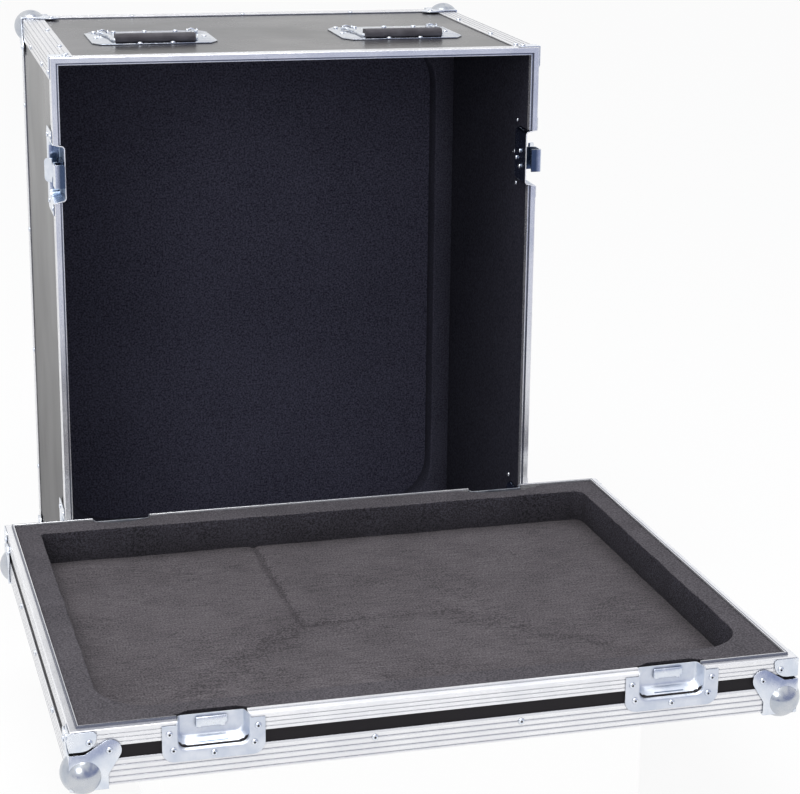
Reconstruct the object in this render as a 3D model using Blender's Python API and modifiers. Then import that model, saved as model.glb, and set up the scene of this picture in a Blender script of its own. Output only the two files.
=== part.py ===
"""Speaker flight case: an upright laminated body with ribbed aluminium edges, ball corners,
two folding handles and four recessed turn latches, and its lift-off lid lying foam side up.

Metres, +Z up. The origin is in the middle of the underside of the body's front edge, the
opening faces -Y, and the lid lies in front of it with its long side nearly along X.
Every piece of the body is placed from an empty at the body's front bottom edge, and every
piece of the lid from an empty at one corner of the lid.
"""

import math

import bmesh
import bpy
from mathutils import Matrix, Vector

# Overall sizes
CASE_WIDTH = 0.664
CASE_HEIGHT = 0.830
BODY_DEPTH = 0.475
LID_DEPTH = 0.066

# Where the lid lies: its near left corner, the free floor behind it, its turn, its height
LID_CORNER_X = -0.401
LID_AWAY = 0.089
LID_TURN = math.radians(1.57)
LID_RAISE = 0.161

# Sheets and clearances; cutters reach far past what they cut
GAP = 0.0003
FAR = 0.2
PLY = 0.007
LINING = 0.0015
BACK_PAD = 0.028
LID_PAD = 0.015

# Edge extrusions
EDGE_LEG = 0.031
EDGE_WALL = 0.0015
EDGE_ROUND = 0.0022
GROOVE_WIDTH = 0.0011
GROOVE_DEPTH = 0.0005
GROOVE_PITCH = 0.0066
EDGE_GROOVES = 4

# Closing extrusions round the two openings
CLOSING_FACE = 0.020
CLOSING_GROOVES = 3
CLOSING_PITCH = 0.0050
CLOSING_FIRST = 0.0055
LAND_WIDTH = 0.0076
LAND_BACK = 0.0045
STEP_DROP = 0.003
LIP_DEPTH = 0.014
LIP_WALL = 0.0015
TONGUE_RISE = 0.0026
RIM_CHAMFER = 0.0008

# Corner braces of the closing extrusions
BRACE_REACH = 0.028
BRACE_DROP = 0.023
BRACE_ROUND = 0.016
BRACE_SHEET = 0.0012
BRACE_TOP = 0.0014
BRACE_NIB = 0.003
BRACE_SEAT_INSET = 0.0043
BRACE_SINK = 0.0008
BRACE_RELIEF = 0.0004

# Ball corners
BALL_RADIUS = 0.024
BALL_INSET = 0.0135
CORNER_SHEET = 0.0018
CORNER_REACH = 0.0395
LOBE_CENTRE = 0.0415
LOBE_RADIUS = 0.0125
LOBE_FOOT = 0.0145

# Foam
RING_WIDTH = 0.028
RING_RISE = 0.038
RING_CORNER = 0.070
LID_FOAM_FRONT = 0.039
LID_FOAM_BACK = 0.036
LID_FOAM_LEFT = 0.0305
LID_FOAM_RIGHT = 0.027
LID_FOAM_CORNERS = (0.062, 0.058, 0.014, 0.005)

# Latch and strike dishes, measured along the edge, into the case and down from the face
LATCH_FROM_END = 0.153
DISH_WIDTH = 0.112
DISH_START = 0.004
DISH_SHEET = 0.0012
DISH_DEPTH = 0.015
DISH_CORNER = 0.014
RECESS_WIDTH = 0.077
RECESS_CORNER = 0.009
RECESS_FLOOR_ROUND = 0.003
RECESS_TAPER = 0.0025
RECESS_PAST = 0.01
LATCH_FLANGE_END = 0.074
LATCH_RECESS = 0.058
STRIKE_FLANGE_END = 0.0465
STRIKE_RECESS = 0.033
STRIKE_TAPER = 0.008
CUT_CLEARANCE = 0.0005

# Turn latch
TURNER_IN = 0.027
TURNER_RADIUS = 0.0125
TURNER_SHEET = 0.0025
CRANK = 0.006
CRANK_PIN = 0.0015
CRANK_SLOT_PLAY = 0.0014
POST_RADIUS = 0.0026
POST_HEAD = 0.0044
POST_HEAD_SHEET = 0.0011
GUIDE_IN = 0.012
GUIDE_SPREAD = 0.009
GUIDE_RADIUS = 0.0025
GUIDE_HEAD = 0.0037
RUNNING_GAP = 0.0004
HOOK_WIDTH = 0.031
HOOK_SHEET = 0.002
HOOK_TAIL = 0.046
HOOK_RISER = 0.0045
HOOK_REACH = 0.0185
HOOK_TOP = 0.0006
HOOK_NOSE_SHEET = 0.0025
HOOK_NOSE_END = 0.0132
HOOK_BEND = 0.0012
WING_WIDTH = 0.032
WING_LENGTH = 0.020
WING_SHEET = 0.003
WING_NECK = 0.0165
WING_NECK_LENGTH = 0.0052
WING_CORNER = 0.006
WING_AXIS_DROP = 0.0055
WING_BARREL = 0.0026
WING_PIN = 0.0012
WING_REST = math.radians(40.0)
EAR_SHEET = 0.0025
EAR_RADIUS = 0.0026

# Keeper pad on each strike dish
KEEPER_WIDTH = 0.034
KEEPER_START = 0.003
KEEPER_END = 0.0158
KEEPER_RISE = 0.004

# Surface handles
HANDLE_FROM_SIDE = 0.157
HANDLE_Y = 0.196
HANDLE_HALF_WIDTH = 0.0865
HANDLE_HALF_DEPTH = 0.069
HANDLE_CUT_ALONG = 0.011
HANDLE_CUT_DEEP = 0.018
HANDLE_SHEET = 0.0015
PIVOT_BACK = 0.028
PIVOT_RISE = 0.0052
BAIL_ROD = 0.0022
BAIL_HALF = 0.0585
BAIL_LENGTH = 0.078
BAIL_BEND = 0.0035
BAIL_PIVOT_BEND = 0.0026
BAIL_JOG_START = 0.012
BAIL_JOG_END = 0.030
ARCH_X = 0.0628
ARCH_HALF = 0.0077
ARCH_SHEET = 0.0016
ARCH_TOP = 0.0100
ARCH_CORNER = 0.0036
ARCH_FRONT = 0.003
ARCH_BACK = 0.0095
ARCH_EARS = 0.005
ARCH_FOOT = 0.0011
GRIP_DEPTH = 0.022
GRIP_HEIGHT = 0.011

# Sizes that follow from the ones above
SKIN = EDGE_WALL + GAP
WALL = SKIN + PLY
INNER = WALL + GAP + LINING
HALF_W = CASE_WIDTH / 2
LID_CORNER_Y = -CASE_WIDTH - LID_AWAY
HANDLE_X = HALF_W - HANDLE_FROM_SIDE
FOOT_SETBACK = CLOSING_FIRST + GROOVE_WIDTH / 2 + CLOSING_PITCH / 2
PANEL_FRONT = LAND_BACK + GAP
BACK_FACE = BODY_DEPTH - WALL
LATCH_HEIGHTS = (LATCH_FROM_END, CASE_HEIGHT - LATCH_FROM_END)
DISH_FACE = GAP + DISH_SHEET
FLOOR = -DISH_DEPTH
HOOK_BASE = FLOOR + RUNNING_GAP
TURNER_BASE = HOOK_BASE + HOOK_SHEET + RUNNING_GAP
TURNER_TOP = TURNER_BASE + TURNER_SHEET
RIGHT = math.radians(90.0)

# Colours: red, green, blue, roughness, metallic
FINISHES = {
    "laminate": (0.040, 0.034, 0.033, 0.42, 0.0),
    "aluminium": (0.800, 0.805, 0.820, 0.34, 1.0),
    "zinc": (0.620, 0.650, 0.700, 0.30, 1.0),
    "steel": (0.560, 0.580, 0.610, 0.28, 1.0),
    "foam": (0.030, 0.030, 0.033, 0.95, 0.0),
    "lining": (0.014, 0.014, 0.019, 0.90, 0.0),
    "rubber": (0.030, 0.030, 0.032, 0.60, 0.0),
}

for old in list(bpy.data.objects):
    bpy.data.objects.remove(old, do_unlink=True)

case = bpy.data.collections.new("speaker_flight_case")
bpy.context.scene.collection.children.link(case)
helpers = bpy.data.collections.new("cutters")
bpy.context.scene.collection.children.link(helpers)


def material(name, finish):
    """A Principled material of its own for one piece."""
    red, green, blue, roughness, metallic = FINISHES[finish]
    made = bpy.data.materials.new(name)
    made.use_nodes = True
    shader = made.node_tree.nodes["Principled BSDF"]
    shader.inputs["Base Color"].default_value = (red, green, blue, 1.0)
    shader.inputs["Roughness"].default_value = roughness
    shader.inputs["Metallic"].default_value = metallic
    return made


def new_object(name, mesh, finish, parent=None, smooth_angle=None):
    """A named piece of the case with its own material, placed from an empty."""
    piece = bpy.data.objects.new(name, mesh)
    case.objects.link(piece)
    piece.data.materials.clear()
    piece.data.materials.append(material(name, finish))
    piece.parent = parent
    if smooth_angle:
        piece.data.shade_smooth()
        piece.data.set_sharp_from_angle(angle=math.radians(smooth_angle))
    return piece


def helper(mesh, parent=None):
    """A hidden cutter or a shape that is joined to a piece."""
    tool = bpy.data.objects.new("cutter", mesh)
    helpers.objects.link(tool)
    tool.parent = parent
    tool.hide_render = True
    tool.display_type = "WIRE"
    return tool


def empty(name, location, rotation=(0.0, 0.0, 0.0), parent=None):
    """An empty that carries a group of pieces, or lies on a joint's axis."""
    made = bpy.data.objects.new(name, None)
    case.objects.link(made)
    made.location = location
    made.rotation_euler = rotation
    made.parent = parent
    made.empty_display_size = 0.02
    return made


def boolean(piece, tool, operation="DIFFERENCE"):
    """Cuts a piece with a helper, or joins the two."""
    change = piece.modifiers.new(operation.lower(), "BOOLEAN")
    change.operation = operation
    change.solver = "EXACT"
    change.object = tool
    return change


def finish_mesh(work, name):
    """Turns bmesh work into a mesh whose faces point out."""
    bmesh.ops.remove_doubles(work, verts=work.verts, dist=1e-6)
    bmesh.ops.recalc_face_normals(work, faces=work.faces)
    mesh = bpy.data.meshes.new(name)
    work.to_mesh(mesh)
    work.free()
    return mesh


def box(low, high):
    """A box between two corners."""
    work = bmesh.new()
    bmesh.ops.create_cube(work, size=1.0)
    low, high = Vector(low), Vector(high)
    size = high - low
    bmesh.ops.scale(work, vec=size, verts=work.verts)
    bmesh.ops.translate(work, vec=(low + high) / 2, verts=work.verts)
    return finish_mesh(work, "box")


def rounded_box(low, high, radius, segments=6, axis=2):
    """A box whose four edges along one axis are rounded."""
    work = bmesh.new()
    bmesh.ops.create_cube(work, size=1.0)
    low, high = Vector(low), Vector(high)
    bmesh.ops.scale(work, vec=high - low, verts=work.verts)
    bmesh.ops.translate(work, vec=(low + high) / 2, verts=work.verts)
    along = [e for e in work.edges if abs((e.verts[0].co - e.verts[1].co)[axis]) > 1e-6]
    bmesh.ops.bevel(work, geom=along, offset=radius, segments=segments, affect="EDGES", profile=0.5)
    return finish_mesh(work, "rounded box")


def cylinder(radius, low, high, axis="Z", centre=(0.0, 0.0), sides=20):
    """A cylinder along one axis; centre holds its two other coordinates."""
    work = bmesh.new()
    bmesh.ops.create_cone(
        work, cap_ends=True, segments=sides, radius1=radius, radius2=radius, depth=high - low
    )
    middle = (low + high) / 2
    if axis == "X":
        turn = Matrix.Rotation(RIGHT, 4, "Y")
        place = Vector((middle, centre[0], centre[1]))
    elif axis == "Y":
        turn = Matrix.Rotation(RIGHT, 4, "X")
        place = Vector((centre[0], middle, centre[1]))
    else:
        turn = Matrix.Identity(4)
        place = Vector((centre[0], centre[1], middle))
    work.transform(Matrix.Translation(place) @ turn)
    return finish_mesh(work, "cylinder")


def arc(centre, radius, start, end, steps):
    """Points on an arc, angles in degrees."""
    points = []
    for step in range(steps + 1):
        angle = math.radians(start + (end - start) * step / steps)
        points.append((centre[0] + radius * math.cos(angle), centre[1] + radius * math.sin(angle)))
    return points


def flat(outlines, low, high):
    """A flat piece with the first outline as its edge and the others as holes, from low to high in Z."""
    curve = bpy.data.curves.new("outline", "CURVE")
    curve.dimensions = "2D"
    curve.fill_mode = "BOTH"
    curve.extrude = (high - low) / 2
    for outline in outlines:
        spline = curve.splines.new("POLY")
        spline.points.add(len(outline) - 1)
        for point, (x, y) in zip(spline.points, outline):
            point.co = (x, y, 0.0, 1.0)
        spline.use_cyclic_u = True
    drawn = bpy.data.objects.new("outline", curve)
    helpers.objects.link(drawn)
    graph = bpy.context.evaluated_depsgraph_get()
    mesh = bpy.data.meshes.new_from_object(drawn.evaluated_get(graph))
    bpy.data.objects.remove(drawn, do_unlink=True)
    work = bmesh.new()
    work.from_mesh(mesh)
    bmesh.ops.translate(work, vec=(0.0, 0.0, (low + high) / 2), verts=work.verts)
    return finish_mesh(work, "flat")


def four_corners(low, high, radii):
    """A rectangle whose corners have their own radii: front left, front right, back right, back left."""
    first, second, third, fourth = radii
    points = arc((low[0] + first, low[1] + first), first, 180.0, 270.0, 8)
    points += arc((high[0] - second, low[1] + second), second, 270.0, 360.0, 8)
    points += arc((high[0] - third, high[1] - third), third, 0.0, 90.0, 4)
    return points + arc((low[0] + fourth, high[1] - fourth), fourth, 90.0, 180.0, 3)


def turned_to(mesh, x_to, y_to, z_to, origin=(0.0, 0.0, 0.0)):
    """Moves a mesh so that its X, Y and Z run along three given directions."""
    turn = Matrix((x_to, y_to, z_to)).transposed().to_4x4()
    mesh.transform(Matrix.Translation(origin) @ turn)
    return mesh


def frame_of(origin, leg_a, leg_b, along):
    """A right-handed placing matrix; the two legs change places where that is needed."""
    a, b, c = Vector(leg_a), Vector(leg_b), Vector(along)
    if a.cross(b).dot(c) < 0:
        a, b = b, a
    return Matrix.Translation(origin) @ Matrix((a, b, c)).transposed().to_4x4()


def grooved_face(start, end, first, pitch, count):
    """Distances and depths along a face that carries a row of small grooves."""
    points = [(start, 0.0)]
    for number in range(count):
        near = first + pitch * number
        for place, depth in ((near, 0.0), (near, GROOVE_DEPTH)):
            points.append((place, depth))
        far = near + GROOVE_WIDTH
        for place, depth in ((far, GROOVE_DEPTH), (far, 0.0)):
            points.append((place, depth))
    points.append((end, 0.0))
    return points


def edge_profile():
    """The ribbed angle seen along its length: the outer corner is at 0, 0."""
    face = grooved_face(EDGE_ROUND, EDGE_LEG, EDGE_ROUND + GROOVE_WIDTH, GROOVE_PITCH, EDGE_GROOVES)
    along_x = [(place, depth) for place, depth in face]
    along_y = [(depth, place) for place, depth in face]
    corner = arc((EDGE_ROUND, EDGE_ROUND), EDGE_ROUND, 180.0, 270.0, 3)
    inner = [(EDGE_LEG, EDGE_WALL), (EDGE_WALL, EDGE_WALL), (EDGE_WALL, EDGE_LEG)]
    return list(reversed(along_y)) + corner[1:-1] + along_x + inner


def prism(outline, length):
    """An outline in XY drawn out along Z."""
    work = bmesh.new()
    ring = [work.verts.new((x, y, 0.0)) for x, y in outline]
    face = work.faces.new(ring)
    drawn = bmesh.ops.extrude_face_region(work, geom=[face])
    moved = [v for v in drawn["geom"] if isinstance(v, bmesh.types.BMVert)]
    bmesh.ops.translate(work, vec=(0.0, 0.0, length), verts=moved)
    return work


def edge_bar(name, length, matrix, parent):
    """One ribbed edge extrusion, cut square at both ends."""
    work = prism(edge_profile(), length)
    work.transform(matrix)
    return new_object(name, finish_mesh(work, name), "aluminium", parent, 30.0)


def closing_profile(tongue):
    """Points (in from the face, down from the rim) of a closing extrusion."""
    first = [(0.0, RIM_CHAMFER), (RIM_CHAMFER, 0.0), (LAND_WIDTH, 0.0)]
    if tongue:
        side = LAND_WIDTH + GAP
        rise = [(side, -TONGUE_RISE), (INNER - GAP, -TONGUE_RISE), (INNER, GAP - TONGUE_RISE)]
        first = [(0.0, RIM_CHAMFER), (RIM_CHAMFER, 0.0), (side, 0.0)] + rise
    else:
        first = first + [(LAND_WIDTH, STEP_DROP), (INNER, STEP_DROP)]
    lip = INNER - LIP_WALL
    channel = [
        (INNER, LIP_DEPTH),
        (lip, LIP_DEPTH),
        (lip, LAND_BACK),
        (EDGE_WALL, LAND_BACK),
        (EDGE_WALL, CLOSING_FACE),
    ]
    face = grooved_face(RIM_CHAMFER, CLOSING_FACE, CLOSING_FIRST, CLOSING_PITCH, CLOSING_GROOVES)
    outer = [(depth, place) for place, depth in reversed(face)]
    return first + channel + outer[:-1]


def mitred_ring(profile, half_a, half_b):
    """A profile carried round a rectangle: a square ring turned in four steps, then drawn out."""
    section = bpy.data.meshes.new("section")
    diagonal = math.sqrt(2)
    points = []
    for inward, down in profile:
        points.append(((half_a - inward) * diagonal, 0.0, down))
    count = len(points)
    section.from_pydata(points, [(i, (i + 1) % count) for i in range(count)], [])
    turned = bpy.data.objects.new("section", section)
    helpers.objects.link(turned)
    screw = turned.modifiers.new("screw", "SCREW")
    screw.axis = "Z"
    screw.steps = 4
    screw.render_steps = 4
    screw.use_merge_vertices = True
    screw.merge_threshold = 1e-5
    graph = bpy.context.evaluated_depsgraph_get()
    mesh = bpy.data.meshes.new_from_object(turned.evaluated_get(graph))
    bpy.data.objects.remove(turned, do_unlink=True)
    mesh.transform(Matrix.Rotation(RIGHT / 2, 4, "Z"))
    for vertex in mesh.vertices:
        vertex.co.y += (half_b - half_a) * math.copysign(1.0, vertex.co.y)
    work = bmesh.new()
    work.from_mesh(mesh)
    return finish_mesh(work, "ring")


def tub(width, length, depth, corner, floor_round, taper, end_taper):
    """A recess as a solid: open past the rim (Y below 0) and past the face (X above 0)."""
    work = bmesh.new()
    bmesh.ops.create_cube(work, size=1.0)
    for vertex in work.verts:
        deep = vertex.co.x < 0
        inside = vertex.co.y > 0
        half = width / 2 - (taper if deep else 0.0)
        vertex.co.z = math.copysign(half, vertex.co.z)
        vertex.co.y = (length - (end_taper if deep else 0.0)) if inside else -RECESS_PAST
        vertex.co.x = -depth if deep else RECESS_PAST
    ends = []
    for edge in work.edges:
        first, second = edge.verts
        if first.co.y > 0 and second.co.y > 0 and first.co.z * second.co.z > 0:
            ends.append(edge)
    bmesh.ops.bevel(work, geom=ends, offset=corner, segments=3, affect="EDGES", profile=0.5)
    around = []
    for edge in work.edges:
        first, second = edge.verts
        low = abs(first.co.x + depth) < 1e-6 and abs(second.co.x + depth) < 1e-6
        if low and not (first.co.y < 0 and second.co.y < 0):
            around.append(edge)
    bmesh.ops.bevel(work, geom=around, offset=floor_round, segments=2, affect="EDGES", profile=0.5)
    return finish_mesh(work, "tub")


def dish_envelope(length, end_taper, margin):
    """The outside of a pressed dish, larger all round by a margin."""
    grown = DISH_SHEET + margin
    return tub(
        RECESS_WIDTH + 2 * grown,
        length + grown,
        DISH_DEPTH + grown,
        RECESS_CORNER + grown,
        RECESS_FLOOR_ROUND + grown,
        RECESS_TAPER,
        end_taper,
    )


def flange_outline(end):
    """The outline of a dish's flange in (along the edge, in from the rim)."""
    half = DISH_WIDTH / 2
    ear = DISH_CORNER / 3
    near = DISH_START
    points = arc((half - DISH_CORNER, end - DISH_CORNER), DISH_CORNER, 0.0, 90.0, 4)
    points += arc((DISH_CORNER - half, end - DISH_CORNER), DISH_CORNER, 90.0, 180.0, 4)
    points += arc((ear - half, near + ear), ear, 180.0, 270.0, 2)
    points += arc((half - ear, near + ear), ear, 270.0, 360.0, 2)
    return points


def dish_mesh(length, flange_end, end_taper, extras):
    """A pressed dish: flange on the face, open-fronted pan below it, and what stands in the pan."""
    outer = dish_envelope(length, end_taper, 0.0)
    work_piece = bpy.data.objects.new("dish", outer)
    helpers.objects.link(work_piece)
    trim = helper(box((GAP + DISH_SHEET / 2, -FAR, -FAR), (FAR, FAR, FAR)))
    boolean(work_piece, trim)
    rim = helper(box((-FAR, -FAR, -FAR), (FAR, GAP, FAR)))
    boolean(work_piece, rim)
    flange = flat([flange_outline(flange_end)], 0.0, DISH_SHEET)
    turned_to(flange, (0.0, 0.0, 1.0), (0.0, 1.0, 0.0), (-1.0, 0.0, 0.0), (DISH_FACE, 0.0, 0.0))
    boolean(work_piece, helper(flange), "UNION")
    pan = tub(
        RECESS_WIDTH,
        length,
        DISH_DEPTH,
        RECESS_CORNER,
        RECESS_FLOOR_ROUND,
        RECESS_TAPER,
        end_taper,
    )
    boolean(work_piece, helper(pan))
    for extra in extras:
        boolean(work_piece, helper(extra), "UNION")
    return baked(work_piece)


def baked(work_piece):
    """The finished mesh of a helper object and its modifiers; the helper goes."""
    graph = bpy.context.evaluated_depsgraph_get()
    mesh = bpy.data.meshes.new_from_object(work_piece.evaluated_get(graph))
    bpy.data.objects.remove(work_piece, do_unlink=True)
    return mesh


def joined(base, additions, cuts=()):
    """One mesh made of several: additions are joined to the base, then cuts are taken away."""
    work_piece = bpy.data.objects.new("joined", base)
    helpers.objects.link(work_piece)
    for addition in additions:
        boolean(work_piece, helper(addition), "UNION")
    for cut in cuts:
        boolean(work_piece, helper(cut))
    return baked(work_piece)


# The two groups: the body from its front bottom edge, the lid from its near left corner
body = empty("body_frame", (0.0, -FOOT_SETBACK, 0.0))
lid = empty(
    "lid_frame",
    (LID_CORNER_X, LID_CORNER_Y - FOOT_SETBACK, LID_RAISE),
    (0.0, 0.0, LID_TURN),
)

# Latch and strike dishes: X out of the wall, Y in from the rim, Z along the edge
latch_frames = {}
for height_name, height in (("lower", LATCH_HEIGHTS[0]), ("upper", LATCH_HEIGHTS[1])):
    for side_name, side, turn in (("left", -1, math.pi), ("right", 1, 0.0)):
        key = f"{side_name}_{height_name}"
        latch_frames[key] = empty(
            f"latch_frame_{key}", (side * HALF_W, 0.0, height), (0.0, turn, 0.0), body
        )

strike_frames = {}
for end_name, along in (("left", LATCH_FROM_END), ("right", CASE_HEIGHT - LATCH_FROM_END)):
    front_dish = empty(f"strike_frame_front_{end_name}", (along, 0.0, LID_DEPTH), parent=lid)
    front_dish.rotation_euler = Matrix(((0, 0, 1), (-1, 0, 0), (0, -1, 0))).to_euler()
    strike_frames[f"front_{end_name}"] = front_dish
    back_dish = empty(f"strike_frame_back_{end_name}", (along, CASE_WIDTH, LID_DEPTH), parent=lid)
    back_dish.rotation_euler = Matrix(((0, 0, -1), (1, 0, 0), (0, -1, 0))).to_euler()
    strike_frames[f"back_{end_name}"] = back_dish

latch_cut = dish_envelope(LATCH_RECESS, RECESS_TAPER, CUT_CLEARANCE)
strike_cut = dish_envelope(STRIKE_RECESS, STRIKE_TAPER, CUT_CLEARANCE)
latch_cutters = {key: helper(latch_cut, place) for key, place in latch_frames.items()}
strike_cutters = {key: helper(strike_cut, place) for key, place in strike_frames.items()}

# Body panels of laminated ply
side_low = WALL + GAP
side_high = CASE_HEIGHT - WALL - GAP
panel_end = BACK_FACE - GAP
wide = HALF_W - SKIN
new_object(
    "body_panel_top",
    box((-wide, PANEL_FRONT, CASE_HEIGHT - WALL), (wide, panel_end, CASE_HEIGHT - SKIN)),
    "laminate",
    body,
)
new_object(
    "body_panel_base",
    box((-wide, PANEL_FRONT, SKIN), (wide, panel_end, WALL)),
    "laminate",
    body,
)
new_object(
    "body_panel_back",
    box((-wide, BACK_FACE, SKIN), (wide, BODY_DEPTH - SKIN, CASE_HEIGHT - SKIN)),
    "laminate",
    body,
)
for side_name, side in (("left", -1), ("right", 1)):
    faces = sorted((side * (HALF_W - WALL), side * wide))
    panel = new_object(
        f"body_panel_{side_name}",
        box((faces[0], PANEL_FRONT, side_low), (faces[1], panel_end, side_high)),
        "laminate",
        body,
    )
    for height_name in ("lower", "upper"):
        boolean(panel, latch_cutters[f"{side_name}_{height_name}"])

# Black lining sheet on the four inner walls
lining_half = HALF_W - WALL - GAP
lining = new_object(
    "body_wall_lining",
    box(
        (-lining_half, LIP_DEPTH + GAP, WALL + GAP),
        (lining_half, panel_end - GAP, CASE_HEIGHT - WALL - GAP),
    ),
    "lining",
    body,
)
hollow = box(
    (INNER - HALF_W, -FAR, INNER),
    (HALF_W - INNER, BODY_DEPTH + FAR, CASE_HEIGHT - INNER),
)
boolean(lining, helper(hollow, body))
for cutter in latch_cutters.values():
    boolean(lining, cutter)

# Foam at the back: a flat pad and a ring with rounded inner corners standing on it
foam_half = HALF_W - INNER - GAP
foam_low = INNER + GAP
foam_high = CASE_HEIGHT - INNER - GAP
pad_front = panel_end - BACK_PAD
new_object(
    "body_back_pad",
    box((-foam_half, pad_front, foam_low), (foam_half, panel_end - GAP, foam_high)),
    "lining",
    body,
)
ring = new_object(
    "body_foam_ring",
    box((-foam_half, pad_front - RING_RISE, foam_low), (foam_half, pad_front - GAP, foam_high)),
    "foam",
    body,
    30.0,
)
ring_hole = rounded_box(
    (RING_WIDTH - foam_half, pad_front - FAR, foam_low + RING_WIDTH),
    (foam_half - RING_WIDTH, pad_front + FAR, foam_high - RING_WIDTH),
    RING_CORNER,
    segments=8,
    axis=1,
)
boolean(ring, helper(ring_hole, body))

# Edge extrusions of the body: four along its depth and a mitred frame round its back
depth_start = CLOSING_FACE + GAP
depth_length = BODY_DEPTH - EDGE_LEG - GAP - depth_start
for level_name, z, down in (("base", 0.0, 1.0), ("top", CASE_HEIGHT, -1.0)):
    for side_name, side in (("left", -1), ("right", 1)):
        place = frame_of((side * HALF_W, depth_start, z), (-side, 0, 0), (0, 0, down), (0, 1, 0))
        edge_bar(f"body_edge_{level_name}_{side_name}", depth_length, place, body)
back_edges = mitred_ring(edge_profile(), HALF_W, CASE_HEIGHT / 2)
back_place = Matrix.Translation((0.0, BODY_DEPTH, CASE_HEIGHT / 2))
back_edges.transform(back_place @ Matrix.Rotation(RIGHT, 4, "X"))
new_object("body_edge_back_frame", back_edges, "aluminium", body, 30.0)


def brace_outline(start, inset):
    """The outline of one leg of a corner brace, smaller all round by an inset."""
    reach, top, drop = BRACE_REACH - inset, BRACE_TOP + inset, BRACE_DROP - inset
    bend, nib = BRACE_ROUND - inset, BRACE_NIB - inset / 2
    points = [(start, top), (reach - nib, top), (reach, top + nib)]
    return points + arc((reach - bend, drop - bend), bend, 0.0, 90.0, 5) + [(start, drop)]


def brace_legs(outline, low, high):
    """Both legs of a brace round a corner at 0, 0, between two distances in from its faces."""
    one = flat([outline], -high, -low)
    other = flat([outline], low, high)
    turned_to(one, (1, 0, 0), (0, 0, 1), (0, -1, 0))
    turned_to(other, (0, 1, 0), (0, 0, 1), (1, 0, 0))
    return [one, other]


def brace_mesh():
    """A folded corner brace: rim of the case at Z 0, down along +Z; its seats sink into the extrusion."""
    outer = -GAP - BRACE_SHEET
    sheets = brace_legs(brace_outline(outer, 0.0), outer, -GAP)
    seats = brace_legs(brace_outline(outer / 2, BRACE_SEAT_INSET), outer / 2, BRACE_SINK)
    return joined(sheets[0], sheets[1:] + seats)


def brace_reliefs():
    """The shallow flats in an extrusion's ribs under the ends of a brace's two legs."""
    near, far = BRACE_REACH - BRACE_SEAT_INSET - BRACE_RELIEF, BRACE_REACH + BRACE_RELIEF
    top = BRACE_TOP - BRACE_RELIEF
    outline = [(near, top), (far, top), (far, BRACE_DROP), (near, BRACE_DROP)]
    return brace_legs(outline, -FAR, GAP)


def closing_lengths(ring, to_place, half_a, half_b, parent, lengths):
    """The lengths of a closing extrusion between its latch gaps, with braces on the corners."""
    for name, low, high, cutters, corners in lengths:
        piece = new_object(name, ring.copy(), "aluminium", parent, 30.0)
        boolean(piece, helper(box(low, high), parent), "INTERSECT")
        for cutter in cutters:
            boolean(piece, cutter)
        for side_a, side_b in corners:
            at = (side_a * half_a, side_b * half_b, 0.0)
            corner = frame_of(at, (-side_a, 0, 0), (0, -side_b, 0), (0, 0, 1))
            for relief in brace_reliefs():
                relief.transform(to_place @ corner)
                boolean(piece, helper(relief, parent))
            brace = brace_mesh()
            brace.transform(to_place @ corner)
            boolean(piece, helper(brace, parent), "UNION")


body_ring_place = Matrix.Translation((0.0, 0.0, CASE_HEIGHT / 2)) @ Matrix.Rotation(-RIGHT, 4, "X")
body_ring = mitred_ring(closing_profile(False), HALF_W, CASE_HEIGHT / 2)
body_ring.transform(body_ring_place)
lower, upper = LATCH_HEIGHTS
past_side = HALF_W + FAR
past_top = CASE_HEIGHT + FAR
lower_cuts = [latch_cutters["left_lower"], latch_cutters["right_lower"]]
upper_cuts = [latch_cutters["left_upper"], latch_cutters["right_upper"]]
left_cuts = [latch_cutters["left_lower"], latch_cutters["left_upper"]]
right_cuts = [latch_cutters["right_lower"], latch_cutters["right_upper"]]
base_low, base_high = (-past_side, -FAR, -FAR), (past_side, FAR, lower)
top_low, top_high = (-past_side, -FAR, upper), (past_side, FAR, past_top)
body_lengths = (
    ("body_closing_base", base_low, base_high, lower_cuts, ((-1, 1), (1, 1))),
    ("body_closing_top", top_low, top_high, upper_cuts, ((-1, -1), (1, -1))),
    ("body_closing_left", (-past_side, -FAR, lower), (0.0, FAR, upper), left_cuts, ()),
    ("body_closing_right", (0.0, -FAR, lower), (past_side, FAR, upper), right_cuts, ()),
)
closing_lengths(body_ring, body_ring_place, HALF_W, CASE_HEIGHT / 2, body, body_lengths)


def corner_plate():
    """The outline of one leg of a ball corner: a square with a round lobe on its diagonal."""
    edge = -GAP - CORNER_SHEET
    lobe = arc((LOBE_CENTRE, LOBE_CENTRE), LOBE_RADIUS, -27.0, 117.0, 7)
    foot = [(edge, edge), (CORNER_REACH, edge), (CORNER_REACH, LOBE_FOOT)]
    return foot + lobe + [(LOBE_FOOT, CORNER_REACH), (edge, CORNER_REACH)]


def ball_corner_mesh():
    """A pressed ball corner on a case corner at 0, 0, 0 whose edges run along +X, +Y and +Z."""
    work = bmesh.new()
    bmesh.ops.create_uvsphere(work, u_segments=20, v_segments=12, radius=BALL_RADIUS)
    bmesh.ops.translate(work, vec=(BALL_INSET,) * 3, verts=work.verts)
    ball = finish_mesh(work, "ball")
    outline = corner_plate()
    low, high = -GAP - CORNER_SHEET, CORNER_SHEET
    plates = [flat([outline], low, high), flat([outline], low, high), flat([outline], low, high)]
    turned_to(plates[1], (0, 1, 0), (0, 0, 1), (1, 0, 0))
    turned_to(plates[2], (0, 0, 1), (1, 0, 0), (0, 1, 0))
    inside = box((-GAP, -GAP, -GAP), (FAR, FAR, FAR))
    return joined(plates[0], plates[1:] + [ball], [inside])


ball_mesh = ball_corner_mesh()


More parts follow.
